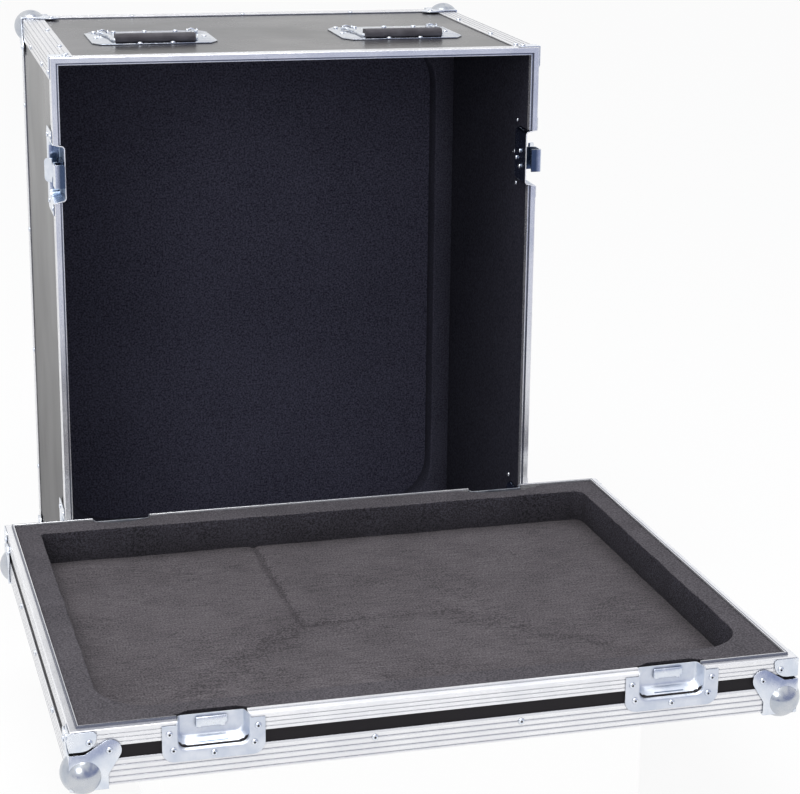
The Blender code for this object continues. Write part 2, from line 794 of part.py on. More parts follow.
def ball_corner(name, origin, directions, parent):
    """One ball corner; directions point from the case's corner along its three edges."""
    mesh = ball_mesh.copy()
    a, b, c = directions
    mesh.transform(frame_of(origin, a, b, c))
    return new_object(name, mesh, "zinc", parent, 30.0)


for level_name, z, down in (("base", 0.0, 1), ("top", CASE_HEIGHT, -1)):
    for side_name, side in (("left", -1), ("right", 1)):
        ball_corner(
            f"body_ball_corner_{level_name}_{side_name}",
            (side * HALF_W, BODY_DEPTH, z),
            ((-side, 0, 0), (0, -1, 0), (0, 0, down)),
            body,
        )

# Latch dishes with the turner's post and the hook's two guide rivets
post_top = TURNER_TOP + RUNNING_GAP
latch_extras = [
    cylinder(POST_RADIUS, FLOOR - DISH_SHEET / 2, post_top + 0.0002, "X", (TURNER_IN, 0.0), 12),
    cylinder(POST_HEAD, post_top, post_top + POST_HEAD_SHEET, "X", (TURNER_IN, 0.0), 14),
]
guide_top = HOOK_BASE + HOOK_SHEET + RUNNING_GAP
for side in (-1, 1):
    at = (GUIDE_IN, side * GUIDE_SPREAD)
    latch_extras.append(cylinder(GUIDE_RADIUS, FLOOR - DISH_SHEET / 2, guide_top + 0.0002, "X", at, 10))
    latch_extras.append(cylinder(GUIDE_HEAD, guide_top, guide_top + POST_HEAD_SHEET, "X", at, 12))
latch_dish = dish_mesh(LATCH_RECESS, LATCH_FLANGE_END, RECESS_TAPER, latch_extras)

# Hook, one bent sheet: base in the dish, riser, top out past the rim, and the nose bent down
slot_half = CRANK_PIN + CRANK_SLOT_PLAY
stroke = 2 * CRANK
side_view = [
    (HOOK_BASE, HOOK_RISER + HOOK_BEND),
    (HOOK_BASE, HOOK_TAIL),
    (HOOK_BASE + HOOK_SHEET, HOOK_TAIL),
    (HOOK_BASE + HOOK_SHEET, HOOK_RISER + HOOK_SHEET),
    (HOOK_TOP - HOOK_BEND, HOOK_RISER + HOOK_SHEET),
    (HOOK_TOP, HOOK_RISER + HOOK_SHEET - HOOK_BEND),
    (HOOK_TOP, HOOK_BEND - HOOK_REACH),
    (HOOK_TOP - HOOK_BEND, -HOOK_REACH),
    (-HOOK_NOSE_END, -HOOK_REACH),
    (-HOOK_NOSE_END, HOOK_NOSE_SHEET - HOOK_REACH),
    (HOOK_TOP - HOOK_SHEET, HOOK_NOSE_SHEET - HOOK_REACH),
    (HOOK_TOP - HOOK_SHEET, HOOK_RISER),
    (HOOK_BASE + HOOK_BEND, HOOK_RISER),
]
post_slot = box(
    (FLOOR - FAR, TURNER_IN - POST_RADIUS - RUNNING_GAP, -POST_RADIUS - RUNNING_GAP),
    (TURNER_BASE, TURNER_IN + stroke + POST_RADIUS + RUNNING_GAP, POST_RADIUS + RUNNING_GAP),
)
crank_in = TURNER_IN + CRANK
crank_slot = box(
    (FLOOR - FAR, crank_in - slot_half, -CRANK - CRANK_PIN - RUNNING_GAP),
    (TURNER_BASE, crank_in + slot_half, CRANK + CRANK_PIN + RUNNING_GAP),
)
hook_cuts = [post_slot, crank_slot]
for side in (-1, 1):
    middle = side * GUIDE_SPREAD
    play = GUIDE_RADIUS + RUNNING_GAP
    slot = box(
        (FLOOR - FAR, GUIDE_IN - play, middle - play),
        (TURNER_BASE, GUIDE_IN + stroke + play, middle + play),
    )
    hook_cuts.append(slot)
hook_mesh = joined(flat([side_view], -HOOK_WIDTH / 2, HOOK_WIDTH / 2), [], hook_cuts)

# Turner: disc on the post, crank pin below, two ears and the wing's pin above; origin on its axis
ear_middle = WING_NECK / 2 + GAP + EAR_SHEET / 2
turner_adds = [
    cylinder(CRANK_PIN, HOOK_BASE + RUNNING_GAP, TURNER_BASE + 0.0005, "X", (CRANK, 0.0), 10),
    cylinder(WING_PIN, -ear_middle, ear_middle, "Z", (-WING_AXIS_DROP, 0.0), 8),
]
for side in (-1, 1):
    low, high = sorted((side * (WING_NECK / 2 + GAP), side * (WING_NECK / 2 + GAP + EAR_SHEET)))
    ear = joined(
        cylinder(EAR_RADIUS, low, high, "Z", (-WING_AXIS_DROP, 0.0), 12),
        [box((TURNER_TOP - 0.0005, -EAR_RADIUS, low), (-WING_AXIS_DROP, EAR_RADIUS, high))],
    )
    turner_adds.append(ear)
disc = cylinder(TURNER_RADIUS, TURNER_BASE, TURNER_TOP, "X", (0.0, 0.0), 20)
post_bore = cylinder(POST_RADIUS + RUNNING_GAP, -FAR, FAR, "X", (0.0, 0.0), 12)
turner_disc = joined(disc, [], [post_bore])
turner_mesh = joined(turner_disc, turner_adds)

# Wing: a leaf with a narrow neck and a barrel on the turner's pin; origin on its hinge axis
half_wing, half_neck = WING_WIDTH / 2, WING_NECK / 2
leaf_end = WING_LENGTH
wing_outline = [(-half_neck, 0.0), (half_neck, 0.0), (half_neck, WING_NECK_LENGTH)]
wing_outline += [(half_wing, WING_NECK_LENGTH + 0.001)]
wing_outline += arc((half_wing - WING_CORNER, leaf_end - WING_CORNER), WING_CORNER, 0.0, 90.0, 4)
wing_outline += arc((WING_CORNER - half_wing, leaf_end - WING_CORNER), WING_CORNER, 90.0, 180.0, 4)
wing_outline += [(-half_wing, WING_NECK_LENGTH + 0.001), (-half_neck, WING_NECK_LENGTH)]
leaf = flat([wing_outline], -WING_SHEET / 2, WING_SHEET / 2)
turned_to(leaf, (0, 0, 1), (0, 1, 0), (-1, 0, 0))
barrel = cylinder(WING_BARREL, -half_neck, half_neck, "Z", (0.0, 0.0), 12)
barrel_bore = cylinder(WING_PIN + GAP, -FAR, FAR, "Z", (0.0, 0.0), 8)
wing_mesh = joined(leaf, [barrel], [barrel_bore])

for key, place in latch_frames.items():
    new_object(f"latch_dish_{key}", latch_dish.copy(), "zinc", place, 30.0)
    new_object(f"latch_hook_{key}", hook_mesh.copy(), "steel", place, 30.0)
    turner = new_object(f"latch_turner_{key}", turner_mesh.copy(), "zinc", place, 30.0)
    turner.location = (0.0, TURNER_IN, 0.0)
    wing = new_object(f"latch_wing_{key}", wing_mesh.copy(), "zinc", place, 30.0)
    wing.location = (-WING_AXIS_DROP, TURNER_IN, 0.0)
    wing.rotation_euler = (0.0, 0.0, -WING_REST)

# Surface handles: a plate with cut corners and two arched ears, a wire bail and a rubber grip
side, deep = HANDLE_HALF_WIDTH, HANDLE_HALF_DEPTH
cut_x, cut_y = side - HANDLE_CUT_ALONG, deep - HANDLE_CUT_DEEP
plate_outline = [(-cut_x, -deep), (cut_x, -deep), (side, -cut_y), (side, cut_y)]
plate_outline += [(cut_x, deep), (-cut_x, deep), (-side, cut_y), (-side, -cut_y)]
panel_top = CASE_HEIGHT - SKIN


def arched_ear(middle):
    """A strap over a bail's end: its roof is open in front of the pivot, so that the bail can rise."""
    shoulder = (ARCH_HALF - ARCH_CORNER, ARCH_TOP - ARCH_CORNER)
    inner_corner, inner_half = ARCH_CORNER - ARCH_SHEET, ARCH_HALF - ARCH_SHEET
    outline = [(ARCH_HALF, ARCH_FOOT)]
    outline += arc(shoulder, ARCH_CORNER, 0.0, 90.0, 4)
    outline += arc((-shoulder[0], shoulder[1]), ARCH_CORNER, 90.0, 180.0, 4)
    outline += [(-ARCH_HALF, ARCH_FOOT), (-inner_half, ARCH_FOOT)]
    outline += arc((-shoulder[0], shoulder[1]), inner_corner, 180.0, 90.0, 3)
    outline += arc(shoulder, inner_corner, 90.0, 0.0, 3)
    outline += [(inner_half, ARCH_FOOT)]
    strap = flat([outline], -PIVOT_BACK - ARCH_BACK, ARCH_EARS - PIVOT_BACK)
    turned_to(strap, (1, 0, 0), (0, 0, 1), (0, -1, 0), (middle, 0.0, 0.0))
    room = inner_half - GAP
    notch_low = (middle - room, -FAR, PIVOT_RISE - BAIL_ROD)
    notch = box(notch_low, (middle + room, PIVOT_BACK + ARCH_FRONT, FAR))
    return joined(strap, [], [notch])


for side_name, side_of in (("left", -1), ("right", 1)):
    frame = empty(f"handle_frame_{side_name}", (side_of * HANDLE_X, HANDLE_Y, panel_top), parent=body)
    plate = flat([plate_outline], GAP, GAP + HANDLE_SHEET)
    ears = [arched_ear(-ARCH_X), arched_ear(ARCH_X)]
    play = BAIL_ROD + RUNNING_GAP
    bores = [
        cylinder(play, -FAR, -ARCH_X, "X", (PIVOT_BACK, PIVOT_RISE), 12),
        cylinder(play, ARCH_X, FAR, "X", (PIVOT_BACK, PIVOT_RISE), 12),
    ]
    new_object(f"handle_plate_{side_name}", joined(plate, ears, bores), "zinc", frame, 30.0)

    pivot = empty(f"handle_pivot_{side_name}", (0.0, PIVOT_BACK, PIVOT_RISE), parent=frame)
    curve = bpy.data.curves.new("bail", "CURVE")
    curve.dimensions = "3D"
    curve.bevel_depth = BAIL_ROD
    curve.bevel_resolution = 2
    curve.use_fill_caps = True
    end_x = ARCH_X + ARCH_HALF + RUNNING_GAP
    bend, turn = BAIL_BEND, BAIL_PIVOT_BEND
    half_route = [(-end_x, 0.0)]
    half_route += arc((-ARCH_X - turn, -turn), turn, 90.0, 0.0, 2)
    half_route += [(-ARCH_X, -BAIL_JOG_START), (-BAIL_HALF, -BAIL_JOG_END)]
    half_route += arc((bend - BAIL_HALF, bend - BAIL_LENGTH), bend, 180.0, 270.0, 4)
    route = half_route + [(-x, y) for x, y in reversed(half_route)]
    spline = curve.splines.new("POLY")
    spline.points.add(len(route) - 1)
    for point, (x, y) in zip(spline.points, route):
        point.co = (x, y, 0.0, 1.0)
    rod = bpy.data.objects.new("rod", curve)
    helpers.objects.link(rod)
    rod_mesh = baked(rod)
    work = bmesh.new()
    work.from_mesh(rod_mesh)
    new_object(f"handle_bail_{side_name}", finish_mesh(work, "bail"), "steel", pivot, 40.0)

    grip_low = GAP + HANDLE_SHEET + GAP - PIVOT_RISE
    grip_half = BAIL_HALF - BAIL_BEND
    grip = rounded_box(
        (-grip_half, -BAIL_LENGTH - GRIP_DEPTH / 2, grip_low),
        (grip_half, GRIP_DEPTH / 2 - BAIL_LENGTH, grip_low + GRIP_HEIGHT),
        GRIP_HEIGHT * 0.45,
        segments=4,
        axis=0,
    )
    hole = cylinder(BAIL_ROD + GAP, -FAR, FAR, "X", (-BAIL_LENGTH, 0.0), 12)
    new_object(f"handle_grip_{side_name}", joined(grip, [], [hole]), "rubber", pivot, 40.0)

# Lid: bottom panel, side frame, closing frame and edge extrusions
new_object(
    "lid_panel",
    box((SKIN, SKIN, SKIN), (CASE_HEIGHT - SKIN, CASE_WIDTH - SKIN, WALL)),
    "laminate",
    lid,
)
frame_top = LID_DEPTH - PANEL_FRONT
side_frame = new_object(
    "lid_side_frame",
    box((SKIN, SKIN, WALL + GAP), (CASE_HEIGHT - SKIN, CASE_WIDTH - SKIN, frame_top)),
    "laminate",
    lid,
)
inside = box((WALL, WALL, -FAR), (CASE_HEIGHT - WALL, CASE_WIDTH - WALL, FAR))
boolean(side_frame, helper(inside, lid))
for cutter in strike_cutters.values():
    boolean(side_frame, cutter)

lid_ring_place = Matrix.Translation((CASE_HEIGHT / 2, CASE_WIDTH / 2, LID_DEPTH))
lid_ring_place = lid_ring_place @ Matrix.Rotation(2 * RIGHT, 4, "X")
lid_ring = mitred_ring(closing_profile(True), CASE_HEIGHT / 2, HALF_W)
lid_ring.transform(lid_ring_place)
left_split, right_split = LATCH_HEIGHTS
past_rim = LID_DEPTH + FAR
past_back = CASE_WIDTH + FAR
left_strikes = [strike_cutters["front_left"], strike_cutters["back_left"]]
right_strikes = [strike_cutters["front_right"], strike_cutters["back_right"]]
front_strikes = [strike_cutters["front_left"], strike_cutters["front_right"]]
back_strikes = [strike_cutters["back_left"], strike_cutters["back_right"]]
left_low, left_high = (-FAR, -FAR, 0.0), (left_split, past_back, past_rim)
right_low, right_high = (right_split, -FAR, 0.0), (past_top, past_back, past_rim)
front_low, front_high = (left_split, -FAR, 0.0), (right_split, HALF_W, past_rim)
back_low, back_high = (left_split, HALF_W, 0.0), (right_split, past_back, past_rim)
lid_lengths = (
    ("lid_closing_left", left_low, left_high, left_strikes, ((-1, -1), (-1, 1))),
    ("lid_closing_right", right_low, right_high, right_strikes, ((1, -1), (1, 1))),
    ("lid_closing_front", front_low, front_high, front_strikes, ()),
    ("lid_closing_back", back_low, back_high, back_strikes, ()),
)
closing_lengths(lid_ring, lid_ring_place, CASE_HEIGHT / 2, HALF_W, lid, lid_lengths)

lid_edges = mitred_ring(edge_profile(), CASE_HEIGHT / 2, HALF_W)
lid_edges.transform(Matrix.Translation((CASE_HEIGHT / 2, CASE_WIDTH / 2, 0.0)))
new_object("lid_edge_frame", lid_edges, "aluminium", lid, 30.0)

for end_name, x, to_x in (("left", 0.0, 1), ("right", CASE_HEIGHT, -1)):
    for face_name, y, to_y in (("front", 0.0, 1), ("back", CASE_WIDTH, -1)):
        ball_corner(
            f"lid_ball_corner_{face_name}_{end_name}",
            (x, y, 0.0),
            ((to_x, 0, 0), (0, to_y, 0), (0, 0, 1)),
            lid,
        )

# Strike dishes with the keeper pad that the hook's nose pulls on
keeper = box(
    (FLOOR - DISH_SHEET / 2, KEEPER_START, -KEEPER_WIDTH / 2),
    (FLOOR + KEEPER_RISE, KEEPER_END, KEEPER_WIDTH / 2),
)
strike_dish = dish_mesh(STRIKE_RECESS, STRIKE_FLANGE_END, STRIKE_TAPER, [keeper])
for key, place in strike_frames.items():
    new_object(f"strike_dish_{key}", strike_dish.copy(), "zinc", place, 30.0)

# Lid foam: a frame flush with the rim, with a hole cut by hand in it, and a pad in the hole
foam_in = INNER + GAP
foam_floor = WALL + GAP
hole_low = (INNER + LID_FOAM_LEFT, INNER + LID_FOAM_FRONT)
hole_high = (CASE_HEIGHT - INNER - LID_FOAM_RIGHT, CASE_WIDTH - INNER - LID_FOAM_BACK)
foam_frame = new_object(
    "lid_foam_frame",
    box((foam_in, foam_in, foam_floor), (CASE_HEIGHT - foam_in, CASE_WIDTH - foam_in, LID_DEPTH)),
    "foam",
    lid,
    30.0,
)
cavity = flat([four_corners(hole_low, hole_high, LID_FOAM_CORNERS)], -FAR, FAR)
boolean(foam_frame, helper(cavity, lid))
for cutter in strike_cutters.values():
    boolean(foam_frame, cutter)
pad_low = (hole_low[0] + GAP, hole_low[1] + GAP)
pad_high = (hole_high[0] - GAP, hole_high[1] - GAP)
pad_corners = [radius - GAP for radius in LID_FOAM_CORNERS]
lid_pad = flat([four_corners(pad_low, pad_high, pad_corners)], foam_floor, foam_floor + LID_PAD)
new_object("lid_foam_pad", lid_pad, "foam", lid, 30.0)
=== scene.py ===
"""The looks of an open speaker flight case: its tall body, and its lid lying foam side up in front."""

import math

import bmesh
import bpy
from mathutils import Matrix, Vector, noise


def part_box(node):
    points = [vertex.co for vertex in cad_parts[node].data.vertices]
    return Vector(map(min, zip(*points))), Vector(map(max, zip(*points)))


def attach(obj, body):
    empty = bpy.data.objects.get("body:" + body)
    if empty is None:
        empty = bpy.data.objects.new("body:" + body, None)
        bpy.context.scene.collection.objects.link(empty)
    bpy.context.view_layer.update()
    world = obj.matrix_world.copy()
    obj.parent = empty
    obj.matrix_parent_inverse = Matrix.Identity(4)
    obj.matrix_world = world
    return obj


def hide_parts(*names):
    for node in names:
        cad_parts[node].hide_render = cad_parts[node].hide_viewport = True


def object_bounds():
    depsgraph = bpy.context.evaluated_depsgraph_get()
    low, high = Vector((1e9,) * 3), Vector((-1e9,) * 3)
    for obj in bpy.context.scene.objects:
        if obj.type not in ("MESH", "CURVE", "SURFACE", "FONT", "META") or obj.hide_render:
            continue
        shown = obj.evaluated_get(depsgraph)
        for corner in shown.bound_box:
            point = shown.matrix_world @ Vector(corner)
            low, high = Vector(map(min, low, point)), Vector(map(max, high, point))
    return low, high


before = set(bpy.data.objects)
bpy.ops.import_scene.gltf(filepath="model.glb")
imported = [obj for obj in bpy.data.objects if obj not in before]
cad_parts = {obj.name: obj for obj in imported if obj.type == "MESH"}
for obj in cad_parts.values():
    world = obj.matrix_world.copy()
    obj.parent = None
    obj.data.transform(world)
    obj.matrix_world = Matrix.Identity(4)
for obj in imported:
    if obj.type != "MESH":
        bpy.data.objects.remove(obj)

cad_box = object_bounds()

# Laminated plywood panels: five on the body, the lid's bottom and its four sides.
# Thin birch ply faced on both sides with a dark brown-black phenolic laminate, low in sheen,
# cut to size and slid into the metal edges, where rivets hold them.


def finish(name, colour, roughness, metallic=0.0):
    """A Principled finish, returned with its node tree and its shader."""
    made = bpy.data.materials.new(name)
    made.use_nodes = True
    shader = made.node_tree.nodes["Principled BSDF"]
    shader.inputs["Base Color"].default_value = (*colour, 1.0)
    shader.inputs["Roughness"].default_value = roughness
    shader.inputs["Metallic"].default_value = metallic
    return made, made.node_tree, shader


def put(tree, kind, sockets=None, **settings):
    """Adds a node; its sockets take plain values or what comes out of other nodes."""
    made = tree.nodes.new("ShaderNode" + kind)
    for key, value in settings.items():
        setattr(made, key, value)
    for key, value in (sockets or {}).items():
        if isinstance(value, bpy.types.NodeSocket):
            tree.links.new(value, made.inputs[key])
        else:
            made.inputs[key].default_value = value
    return made


def spot(tree):
    """Where a point of the surface is, in metres."""
    return put(tree, "TexCoord").outputs["Object"]


def clouds(tree, at, size, detail=3.0):
    """Soft noise whose patches are about one size, in metres."""
    sockets = {"Vector": at, "Scale": 1.0 / size, "Detail": detail}
    return put(tree, "TexNoise", sockets).outputs["Fac"]


def spread(tree, value, low, high, start=0.35, end=0.65):
    """Spreads a noise over a range of values."""
    sockets = {"Value": value, "From Min": start, "From Max": end, "To Min": low, "To Max": high}
    return put(tree, "MapRange", sockets).outputs["Result"]


def sums(tree, kind, first, second):
    """A sum, product or other step of arithmetic on two values."""
    return put(tree, "Math", {0: first, 1: second}, operation=kind).outputs[0]


def between(tree, share, dark, light):
    """A colour between two, by a share."""
    mix = put(tree, "Mix", {"Factor": share}, data_type="RGBA")
    for number, value in ((6, dark), (7, light)):
        if isinstance(value, bpy.types.NodeSocket):
            tree.links.new(value, mix.inputs[number])
        else:
            mix.inputs[number].default_value = (*value, 1.0)
    return mix.outputs[2]


def colour_in(tree, shader, colour, roughness=None, height=None, depth=0.001, strength=0.5):
    """Links what was mixed to the shader: colour, roughness and a bump in metres."""
    tree.links.new(colour, shader.inputs["Base Color"])
    if roughness is not None:
        tree.links.new(roughness, shader.inputs["Roughness"])
    if height is None:
        return None
    bump = put(tree, "Bump", {"Height": height, "Distance": depth, "Strength": strength})
    tree.links.new(bump.outputs["Normal"], shader.inputs["Normal"])
    return bump


def dress(nodes, material):
    """Gives CAD nodes a finish."""
    for name in nodes:
        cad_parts[name].data.materials.clear()
        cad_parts[name].data.materials.append(material)


laminate, tree, shader = finish("dark_laminate", (0.03, 0.027, 0.027), 0.36)
at = spot(tree)
grain_size, patch_size, rub_size, sheen_size = 0.0011, 0.30, 0.09, 0.16
scuffed_below, clean_above = 0.10, 0.78
grain = spread(tree, clouds(tree, at, grain_size, 2.0), 0.0, 1.0, 0.3, 0.7)
patches = spread(tree, clouds(tree, at, patch_size), 0.2, 0.8)
shade = between(tree, patches, (0.014, 0.0125, 0.0145), (0.022, 0.0200, 0.0220))
rubbed = spread(tree, clouds(tree, at, rub_size, 4.0), 0.0, 0.03, 0.45, 0.75)
matt = sums(tree, "ADD", spread(tree, clouds(tree, at, sheen_size), 0.25, 0.29), rubbed)
height = put(tree, "SeparateXYZ", {0: at}).outputs[2]
scuffed = spread(tree, height, 0.22, 0.0, scuffed_below, clean_above)
colour_in(tree, shader, shade, sums(tree, "ADD", matt, scuffed), grain, 0.00003, 0.15)
shader.inputs["Specular IOR Level"].default_value = 0.62

panels = [f"body_panel_{side}" for side in ("top", "base", "back", "left", "right")]
dress(panels, laminate)
lid_laminate = laminate.copy()
lid_laminate.name = "dark_laminate_of_the_lid"
lid_shader = lid_laminate.node_tree.nodes["Principled BSDF"]
lid_shader.inputs["Specular IOR Level"].default_value = 0.12
dress(["lid_panel", "lid_side_frame"], lid_laminate)

# Black lining sheet on the body's four inner walls, and the flat pad behind the foam ring.
# Thin felt-like sheets glued to the ply: nearly black, faintly blue, with a short nap that
# shows as fine mottling. The walls' sheet is a darker copy of the pad's: painted shade.


def felt(name, dark, light):
    """Short-napped sheet: matt, finely mottled, with soft patches."""
    made, tree, shader = finish(name, dark, 1.0)
    at = spot(tree)
    nap = clouds(tree, at, 0.0026, 5.0)
    patch = clouds(tree, at, 0.11, 4.0)
    mottled = spread(tree, nap, 0.0, 0.92, 0.34, 0.66)
    share = sums(tree, "ADD", mottled, spread(tree, patch, 0.0, 0.08))
    colour_in(tree, shader, between(tree, share, dark, light), None, nap, 0.0004, 0.4)
    shader.inputs["Specular IOR Level"].default_value = 0.08
    return made


# The walls take a darker copy of the pad's felt: painted shade on the side walls.
dress(["body_wall_lining"], felt("wall_lining", (0.016, 0.016, 0.024), (0.046, 0.046, 0.064)))
dress(["body_back_pad"], felt("back_lining", (0.022, 0.022, 0.036), (0.112, 0.111, 0.164)))

# Foam ring at the back of the body: closed-cell foam cut from a thick sheet, with large round
# corners, glued on the back pad. It holds the cabinet's back, and its cut edges are soft.


def new_piece(name, mesh, material, body, nodes=(), angle=40.0):
    """A shown piece: its finish, the body it rides on, and the CAD nodes that it stands for."""
    made = bpy.data.objects.new(name, mesh)
    bpy.context.scene.collection.objects.link(made)
    if material:
        made.data.materials.clear()
        made.data.materials.append(material)
    made.data.shade_smooth()
    made.data.set_sharp_from_angle(angle=math.radians(angle))
    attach(made, body)
    if nodes:
        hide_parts(*nodes)
    return made


foam_seed = 5
noise.seed_set(foam_seed)


def wobble(point, size, amount):
    """A small shift of a point, as in cut foam. With the seed above it is the same each run."""
    return noise.noise_vector(point / size) * amount


def mesh_of(work, name):
    """Turns what was drawn into a mesh."""
    mesh = bpy.data.meshes.new(name)
    work.to_mesh(mesh)
    work.free()
    return mesh


corner_steps, side_steps = 5, 24


def foam_loops(hole, radii, outer, notches):
    """Matching points along the round-cornered hole of a foam frame and along its outer edge."""
    near, far = [], []
    signs = ((1, 1), (-1, 1), (-1, -1), (1, -1))
    corners = []
    for (sign_a, sign_b), radius in zip(signs, radii):
        inner = (hole[1 + sign_a], hole[2 + sign_b])
        outside = (outer[1 + sign_a], outer[2 + sign_b])
        centre = (inner[0] - sign_a * radius, inner[1] - sign_b * radius)
        corners.append((centre, inner, outside, radius))

    def quarter(index):
        (sign_a, sign_b), (centre, _, outside, radius) = signs[index], corners[index]
        off_a, off_b = abs(outside[0] - centre[0]), abs(outside[1] - centre[1])
        split = math.atan2(off_b, off_a)
        turns = [split * n / corner_steps for n in range(corner_steps + 1)]
        rest = math.pi / 2 - split
        turns += [split + rest * n / corner_steps for n in range(1, corner_steps + 1)]
        for angle in turns if sign_a * sign_b > 0 else reversed(turns):
            c, s = math.cos(angle), math.sin(angle)
            near.append(Vector((centre[0] + sign_a * radius * c, centre[1] + sign_b * radius * s)))
            reach = min(off_a / max(c, 1e-6), off_b / max(s, 1e-6))
            far.append(Vector((centre[0] + sign_a * reach * c, centre[1] + sign_b * reach * s)))

    def side(index):
        start, end = corners[index], corners[(index + 1) % 4]
        axis = index % 2
        for step in range(1, side_steps):
            along = start[0][axis] + (end[0][axis] - start[0][axis]) * step / side_steps
            depth = 0.0
            for middle, half, cut in notches:
                if axis == 0 and abs(along - middle) < half:
                    depth = cut
            level_in, level_out = start[1][1 - axis], start[2][1 - axis]
            level_out -= math.copysign(depth, level_out - level_in)
            near.append(Vector((along, level_in) if axis == 0 else (level_in, along)))
            far.append(Vector((along, level_out) if axis == 0 else (level_out, along)))

    for index in range(4):
        quarter(index)
        side(index)
    return near, far


def foam_frame(hole, radii, outside, height, notches=(), soft=0.0022):
    """A foam frame round a hole: rows of points across its top and down its cut wall."""
    inner, outer = foam_loops(hole, radii, outside, notches)
    rows = [(1.0, 0.0), (1.0, height - 0.001), (0.992, height)]
    rows += [(share, height) for share in (0.9, 0.75, 0.6, 0.45, 0.3, 0.18)]
    edge = []
    for step in range(5):
        angle = math.pi / 2 * step / 4
        edge.append((soft * (1 - math.sin(angle)), height - soft * (1 - math.cos(angle))))
    wall = [(0.0, height - soft - (height - soft) * part / 6) for part in range(1, 7)]
    work = bmesh.new()
    grid = []
    for near, far in zip(inner, outer):
        ray = far - near
        unit = ray.normalized()
        line = []
        for share, level in rows:
            flat = near + ray * share
            line.append((flat, level, 0.15 if share > 0.9 else 0.5))
        for inset, level in edge + wall:
            flat = near + unit * inset
            line.append((flat, level, 1.0 if level > 0.001 else 0.0))
        points = []
        for flat, level, play in line:
            point = Vector((flat.x, flat.y, level))
            shift = wobble(point, 0.045, 0.0009) + wobble(point, 0.012, 0.0003)
            points.append(work.verts.new(point + shift * play))
        grid.append(points)
    count = len(grid)
    for i in range(count):
        here, there = grid[i], grid[(i + 1) % count]
        for j in range(len(here)):
            k = (j + 1) % len(here)
            work.faces.new((here[j], here[k], there[k], there[j]))
    bmesh.ops.recalc_face_normals(work, faces=work.faces)
    return mesh_of(work, "foam frame")


def paint_shade(tree, colour, reach, dark, low=0.30, high=0.80):
    """Paints shade into a colour in corners and close beside whatever stands over it."""
    open_air = put(tree, "AmbientOcclusion", {"Distance": reach}, samples=6).outputs["AO"]
    return between(tree, spread(tree, open_air, 0.0, 1.0, low, high), dark, colour)


def toned(colour, tone):
    """A colour made darker or lighter by one factor."""
    return tuple(tone * part for part in colour)


def foam_finish(name, dark, light, nap=0.5, folds=None, shade_walls=False):
    """Matt closed-cell foam speckled by its cells, with painted shade in its folds, on its cut walls
    and in corners.
    """
    made, tree, shader = finish(name, dark, 0.95)
    at = spot(tree)
    cells = put(tree, "TexVoronoi", {"Vector": at, "Scale": 620.0, "Randomness": 1.0})
    speck = clouds(tree, at, 0.0022, 5.0)
    patch = spread(tree, clouds(tree, at, 0.07, 5.0), 0.0, 0.20)
    share = sums(tree, "ADD", spread(tree, speck, 0.0, 0.80, 0.38, 0.62), patch)
    if folds:
        # Painted shade in the creases: the colour darkens with the depth of the fold.
        pressed = put(tree, "Attribute", attribute_name=folds).outputs["Fac"]
        share = sums(tree, "SUBTRACT", share, sums(tree, "MULTIPLY", pressed, 0.36))
        raked = put(tree, "Mapping", {"Vector": at, "Scale": (1.0, 13.0, 13.0)}).outputs[0]
        lines = spread(tree, clouds(tree, raked, 0.030, 3.0), -0.20, 0.20)
        share = sums(tree, "ADD", share, lines)
    skin = between(tree, share, dark, light)
    # Painted shade on the walls: faces that turn away from up get a darker colour.
    if shade_walls:
        facing = put(tree, "TexCoord").outputs["Normal"]
        level = put(tree, "SeparateXYZ", {0: facing}).outputs[2]
        cut = between(tree, share, toned(dark, 0.42), (0.074, 0.070, 0.088))
        skin = between(tree, spread(tree, level, 0.0, 1.0, 0.15, 0.55), cut, skin)
    # Painted shade in corners and beside what stands over the foam.
    colour = paint_shade(tree, skin, 0.036, toned(dark, 0.45), 0.12, 0.90)
    height = sums(tree, "ADD", cells.outputs["Distance"], speck)
    colour_in(tree, shader, colour, None, height, 0.0009, nap)
    shader.inputs["Specular IOR Level"].default_value = 0.15
    return made


deep_foam = foam_finish("foam_in_the_body", (0.032, 0.032, 0.048), (0.090, 0.090, 0.128))
low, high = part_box("body_foam_ring")
ring_a, ring_b, ring_high = (high.x - low.x) / 2, (high.z - low.z) / 2, high.y - low.y
ring_rim, ring_corner = 0.028, 0.070
ring_hole = (ring_rim - ring_a, ring_rim - ring_b, ring_a - ring_rim, ring_b - ring_rim)
ring_outside = (-ring_a, -ring_b, ring_a, ring_b)
ring_mesh = foam_frame(ring_hole, (ring_corner,) * 4, ring_outside, ring_high)
ring_middle = (low.z + high.z) / 2
upright = Matrix(((1, 0, 0, 0), (0, 0, -1, high.y), (0, 1, 0, ring_middle), (0, 0, 0, 1)))
ring_mesh.transform(upright)
ring = new_piece("foam_ring", ring_mesh, deep_foam, "case", ["body_foam_ring"], 60.0)

# Foam of the lid: a frame as high as the rim, with round corners cut in it, and a softer pad on
# the bottom panel between. Both are dark grey closed-cell foam; the pad keeps the creases of the
# sheet it was cut from.

half_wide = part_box("body_edge_back_frame")[1].x
case_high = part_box("body_edge_back_frame")[1].z
lid_long, lid_wide, lid_deep = case_high, 2 * half_wide, 0.066
lid_turn = math.radians(1.57)
lid_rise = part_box("lid_edge_frame")[0].z
lid_corner = (-0.401, -0.76155, lid_rise)
lid_at = Matrix.Translation(lid_corner) @ Matrix.Rotation(lid_turn, 4, "Z")
strike_from_end = 0.153
strike_spots = (strike_from_end, lid_long - strike_from_end)
strike_half, strike_in = 0.044, 0.0140

